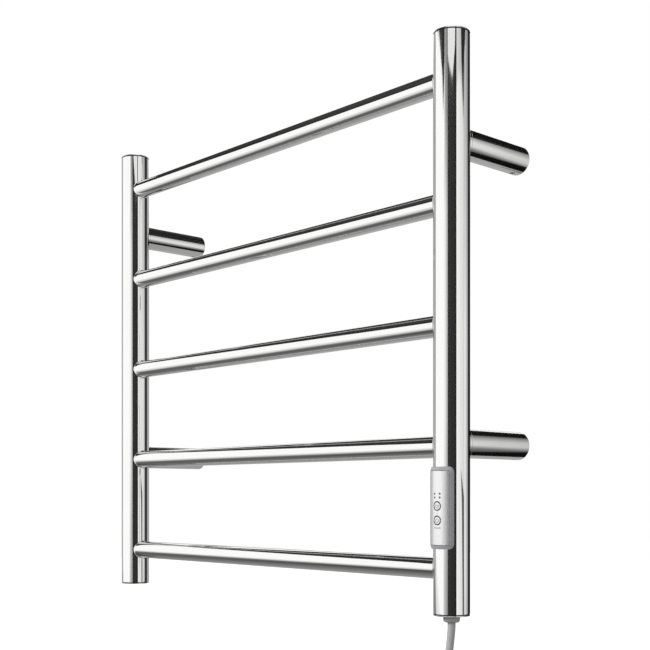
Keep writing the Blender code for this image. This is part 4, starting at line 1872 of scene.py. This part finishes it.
@dataclass
class Card:
    """A studio card that only reflections see."""

    name: str
    corners: list[Point]
    greys: list[tuple[float, float]] = field(default_factory=lambda: [(0.0, 0.0)])
    across: Point = (0.0, 0.0, 1.0)
    fade: list[tuple[float, float]] = field(default_factory=list)

    @staticmethod
    def blended(
        graph: Graph, across: Point, stops: list[tuple[float, float]]
    ) -> bpy.types.NodeSocket:
        """A grey that changes along a direction.

        Args:
            graph: The card's node graph.
            across: The direction.
            stops: Pairs of a distance in metres from the origin and a level of light.

        Returns:
            The colour socket.
        """
        low, high = stops[0][0], stops[-1][0]
        along = graph.node("VectorMath", operation="DOT_PRODUCT")
        along.inputs[1].default_value = across
        graph.join(graph.coordinates(), along.inputs[0])
        share = graph.node("MapRange")
        share.inputs["From Min"].default_value = low
        share.inputs["From Max"].default_value = high
        graph.join(along.outputs["Value"], share.inputs["Value"])
        return graph.ramp(
            share.outputs["Result"], [
                ((place - low) / (high - low), (level,) * 3) for place, level in stops
            ]
        )

    def build(self) -> bpy.types.Object:
        """Make the card.

        Its greys are pairs of a distance in metres along across, from the origin, and a grey.
        Its fade, if it has one, is pairs of a height and a factor.

        Returns:
            The card.
        """
        bm = bmesh.new()
        bm.faces.new([bm.verts.new(corner) for corner in self.corners])
        card = make_object(self.name, bm)
        graph = Graph(self.name)
        light = graph.node("Emission")
        if len(self.greys) == 1:
            level = as_light(self.greys[0][1])
            light.inputs["Color"].default_value = (level, level, level, 1.0)
        else:
            levels = [(place, as_light(grey)) for place, grey in self.greys]
            colour = self.blended(graph, self.across, levels)
            if self.fade:
                dim = graph.node("Mix", data_type="RGBA", blend_type="MULTIPLY")
                dim.inputs["Factor"].default_value = 1.0
                graph.join(colour, dim.inputs["A"])
                graph.join(self.blended(graph, (0.0, 0.0, 1.0), self.fade), dim.inputs["B"])
                colour = dim.outputs["Result"]
            graph.join(colour, light.inputs["Color"])
        graph.join(light.outputs["Emission"], graph.output.inputs["Surface"])
        card.data.materials.append(graph.material)
        for ray in ("camera", "diffuse", "transmission", "volume_scatter", "shadow"):
            setattr(card, "visible_" + ray, False)
        return card


@dataclass
class Studio:
    """A pale floor, white surroundings, and the dark and grey cards that the steel mirrors."""

    floor_z: float = -0.62
    floor_half: float = 6.0
    sky_grey: float = 252.0
    ground_grey: float = 150.0
    ambient: float = 0.55
    horizon: tuple[float, float] = (-0.56, -0.52)
    dusk: tuple[float, float] = (-0.6, 0.3)

    def build_world(self) -> None:
        """White for the camera, white over grey in the steel, and dimmer from below elsewhere."""
        world = bpy.data.worlds.new("studio_world")
        world.use_nodes = True
        bpy.context.scene.world = world
        tree = world.node_tree
        tree.nodes.clear()
        new, link = tree.nodes.new, tree.links.new
        where, split = new("ShaderNodeTexCoord"), new("ShaderNodeSeparateXYZ")
        link(where.outputs["Generated"], split.inputs["Vector"])
        seen, mirrored, lit = (new("ShaderNodeBackground") for _ in range(3))
        seen.inputs["Color"].default_value = (1.0, 1.0, 1.0, 1.0)
        for shader, heights, levels in (
            (mirrored, self.horizon, (as_light(self.ground_grey), as_light(self.sky_grey))),
            (lit, self.dusk, (0.5 * self.ambient, self.ambient)),
        ):
            ramp = new("ShaderNodeMapRange")
            for end, height, level in zip(("Min", "Max"), heights, levels):
                ramp.inputs["From " + end].default_value = height
                ramp.inputs["To " + end].default_value = level
            link(split.outputs["Z"], ramp.inputs["Value"])
            link(ramp.outputs["Result"], shader.inputs["Color"])
        ray, out = new("ShaderNodeLightPath"), new("ShaderNodeOutputWorld")
        shown, mix = new("ShaderNodeMixShader"), new("ShaderNodeMixShader")
        link(ray.outputs["Is Diffuse Ray"], mix.inputs["Fac"])
        link(mirrored.outputs["Background"], mix.inputs[1])
        link(lit.outputs["Background"], mix.inputs[2])
        link(ray.outputs["Is Camera Ray"], shown.inputs["Fac"])
        link(mix.outputs["Shader"], shown.inputs[1])
        link(seen.outputs["Background"], shown.inputs[2])
        link(shown.outputs["Shader"], out.inputs["Surface"])

    def build_floor(self) -> None:
        """The pale floor, which the steel doesn't mirror."""
        bm = bmesh.new()
        bmesh.ops.create_grid(bm, x_segments=1, y_segments=1, size=self.floor_half)
        bmesh.ops.translate(bm, vec=(0, 0, self.floor_z), verts=bm.verts)
        floor = make_object("studio_floor", bm)
        graph = Graph("floor_paper")
        fibre = graph.noise(graph.coordinates(), 3.0, 2.0)
        tone = graph.ramp(fibre, [(0.3, (0.93, 0.93, 0.93)), (0.7, (0.95, 0.95, 0.95))])
        graph.surface(
            Base_Color=tone, Roughness=0.9, Emission_Color=(1.0, 1.0, 1.0, 1.0),
            Emission_Strength=0.5,
        )
        floor.data.materials.append(graph.material)
        floor.visible_glossy = False
        floor.visible_diffuse = False

    def build_light(self, name: str, where: Point, size: float, power: float) -> None:
        """A soft light that points at the rack and that the steel doesn't mirror.

        Args:
            name: Its name.
            where: Its place.
            size: Its diameter in metres.
            power: Its power in watts.
        """
        data = bpy.data.lights.new(name, "AREA")
        data.shape = "DISK"
        data.size = size
        data.energy = power
        light = bpy.data.objects.new(name, data)
        light.location = where
        aim = Vector((0.1, -0.05, -0.05)) - Vector(where)
        light.rotation_euler = aim.to_track_quat("-Z", "Y").to_euler()
        light.visible_glossy = False
        bpy.context.scene.collection.objects.link(light)

    def build_cards(self) -> None:
        """The cards, each where its band in the steel calls for it."""
        ceiling, under = 1.7, -0.58
        cards = [
            Card(
                "camera_black",
                [
                    (0.737, -1.60, -0.8), (1.037, -0.365, -0.8), (1.037, -0.365, 0.95),
                    (1.008, -0.484, 0.95),
                    (1.006, -0.492, 0.545), (0.993, -0.547, 0.533), (0.948, -0.730, 0.521),
                    (0.913, -0.874, 0.552), (0.851, -1.132, 0.628), (0.783, -1.409, 0.725),
                    (0.737, -1.60, 0.80),
                ],
                [
                    (-1.60, 34.0), (-1.35, 40.0), (-1.1, 54.0), (-0.9, 42.0), (-0.7, 47.0),
                    (-0.5, 40.0), (-0.365, 30.0),
                ],
                (0.0, 1.0, 0.0),
            ),
            Card(
                "camera_edge",
                [
                    (0.0, -1.64, -0.8), (0.737, -1.64, -0.8), (0.737, -1.64, 1.2),
                    (0.16, -1.64, 1.2),
                    (0.16, -1.64, 0.6), (0.0, -1.64, 0.5),
                ],
                [(0.0, 246.0), (0.25, 236.0), (0.42, 216.0), (0.6, 181.0), (0.737, 142.0)],
                (1.0, 0.0, 0.0),
                [
                    (-0.8, 0.5), (-0.38, 0.62), (0.0, 1.0), (0.45, 1.0), (0.68, 0.5), (0.79, 0.42),
                    (1.2, 0.42),
                ],
            ),
            Card(
                "rear_black",
                [(0.86, 1.44, -1.2), (-0.075, 0.82, -1.2), (-0.075, 0.82, 1.5), (0.86, 1.44, 1.5)],
                [(0.0, 10.0)],
            ),
            Card(
                "rear_grey",
                [(0.6, 2.6, -1.5), (-5.0, 4.0, -1.5), (-5.0, 4.0, 1.2), (0.6, 2.6, 1.2)],
                [(0.0, 158.0)],
            ),
            Card(
                "camera_sky",
                [(0.9, -3.3, 0.6), (4.0, -1.5, 0.6), (4.0, -1.5, 3.0), (0.9, -3.3, 3.0)],
                [(0.0, 229.0)],
            ),
            Card(
                "right_high",
                [(4.6, -1.9, 1.4), (4.6, 3.5, 1.4), (4.6, 3.5, 2.6), (4.6, -1.9, 2.6)],
                [(-1.9, 216.0), (0.9, 190.0), (3.5, 160.0)],
                (0.0, 1.0, 0.0),
            ),
            Card(
                "left_grey",
                [(-5.0, 4.6, -1.5), (-5.0, -1.6, -1.5), (-5.0, -1.6, 2.4), (-5.0, 4.6, 2.4)],
                [(0.0, 164.0)],
            ),
            Card(
                "ceiling_black",
                [
                    (x, y, ceiling)
                    for x, y in (
                        (-2.6, 2.8), (-2.6, -1.7), (-2.81, -2.11), (-1.9, -3.25), (-1.5, -3.68),
                        (-1.0, -4.06), (-0.75, -4.65), (-0.25, -4.35), (-0.1, -4.15), (0.05, -4.0),
                        (0.4, -3.85), (0.7, -3.7), (0.0, 0.0), (3.83, 0.6), (4.12, 0.91),
                        (4.2, 1.36),
                        (4.4, 1.75), (4.45, 2.15), (4.01, 2.2), (3.76, 2.11), (3.52, 2.15),
                        (3.30, 2.27),
                        (2.57, 2.79), (1.6, 2.8),
                    )
                ],
                [(-2.6, 34.0), (-1.4, 58.0), (-0.4, 40.0), (0.0, 28.0), (4.5, 40.0)],
                (1.0, 0.0, 0.0),
            ),
            Card(
                "right_silver",
                [(0.63, 1.2, -1.5), (2.2, 1.2, -1.5), (2.2, 1.2, 0.95), (0.63, 1.2, 0.95)],
                [
                    (0.63, 122.0), (0.7, 130.0), (0.96, 176.0), (1.3, 208.0), (1.39, 224.0),
                    (2.2, 228.0),
                ],
                (1.0, 0.0, 0.0),
                [
                    (-1.1, 0.3), (-0.82, 0.36), (-0.62, 0.62), (-0.38, 1.0), (0.25, 1.0),
                    (0.45, 0.85), (0.9, 0.6),
                ],
            ),
            Card(
                "right_pale",
                [(4.0, -1.35, -1.5), (4.0, 3.4, -1.5), (4.0, 3.4, 1.56), (4.0, -1.35, 1.56)],
                [(-1.35, 246.0), (-0.5, 236.0), (1.0, 224.0), (2.2, 212.0), (3.4, 222.0)],
                (0.0, 1.0, 0.0),
            ),
            Card(
                "right_wedge",
                [
                    (3.5, 0.48, -0.08), (3.5, 2.18, -0.19), (3.5, 2.93, -0.63), (3.5, 3.0, -0.9),
                    (3.5, 1.3, -0.9), (3.5, 1.22, -0.55), (3.5, 0.96, -0.21),
                ],
                [(0.0, 84.0)],
            ),
            Card(
                "floor_black",
                [(0.12, 0.15, under), (0.21, 0.15, under), (1.0, 1.3, under), (0.12, 1.3, under)],
                [(0.0, 14.0)],
            ),
            Card(
                "near_floor",
                [
                    (-0.62, -1.6, under), (0.12, -1.6, under), (0.12, 3.5, under),
                    (-0.62, 3.5, under),
                ],
                [
                    (-1.6, 250.0), (-1.25, 240.0), (-1.02, 205.0), (-0.9, 120.0), (-0.75, 84.0),
                    (-0.45, 78.0),
                    (-0.2, 112.0), (0.1, 145.0), (0.6, 163.0), (3.5, 180.0),
                ],
                (0.0, 1.0, 0.0),
            ),
            Card(
                "far_floor",
                [
                    (-6.0, -2.6, under), (-0.62, -2.6, under), (-0.62, 3.5, under),
                    (-6.0, 3.5, under),
                ],
                [
                    (-2.6, 240.0), (-1.6, 222.0), (-1.1, 205.0), (-0.92, 170.0), (-0.76, 118.0),
                    (-0.52, 90.0), (-0.35, 92.0), (-0.2, 112.0), (0.1, 146.0), (0.6, 163.0),
                    (3.5, 180.0),
                ],
                (0.0, 1.0, 0.0),
            ),
        ]
        for card in cards:
            card.build()

    def build(self) -> None:
        """Build the studio."""
        bpy.context.scene.view_settings.view_transform = "Standard"
        self.build_world()
        self.build_floor()
        self.build_cards()
        self.build_light("key_light", (-0.95, -2.2, 0.9), 1.0, 62.0)
        self.build_light("fill_light", (1.6, -1.8, 0.4), 1.2, 9.0)


# ---------------------------------------------------------------------------------- main


def main() -> None:
    """Build the towel warmer piece by piece, then the studio, and note the sizes."""
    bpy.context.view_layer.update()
    RoomCamera().build()
    MainsFlex().build(Plug().build())
    Ladder().build()
    for level in Level:
        for side in Side:
            Standoff(side, level).build()
    ControlUnit().build()
    Gland().build()
    InnerPieces().build()
    Studio().build()


if __name__ == "__main__":
    main()
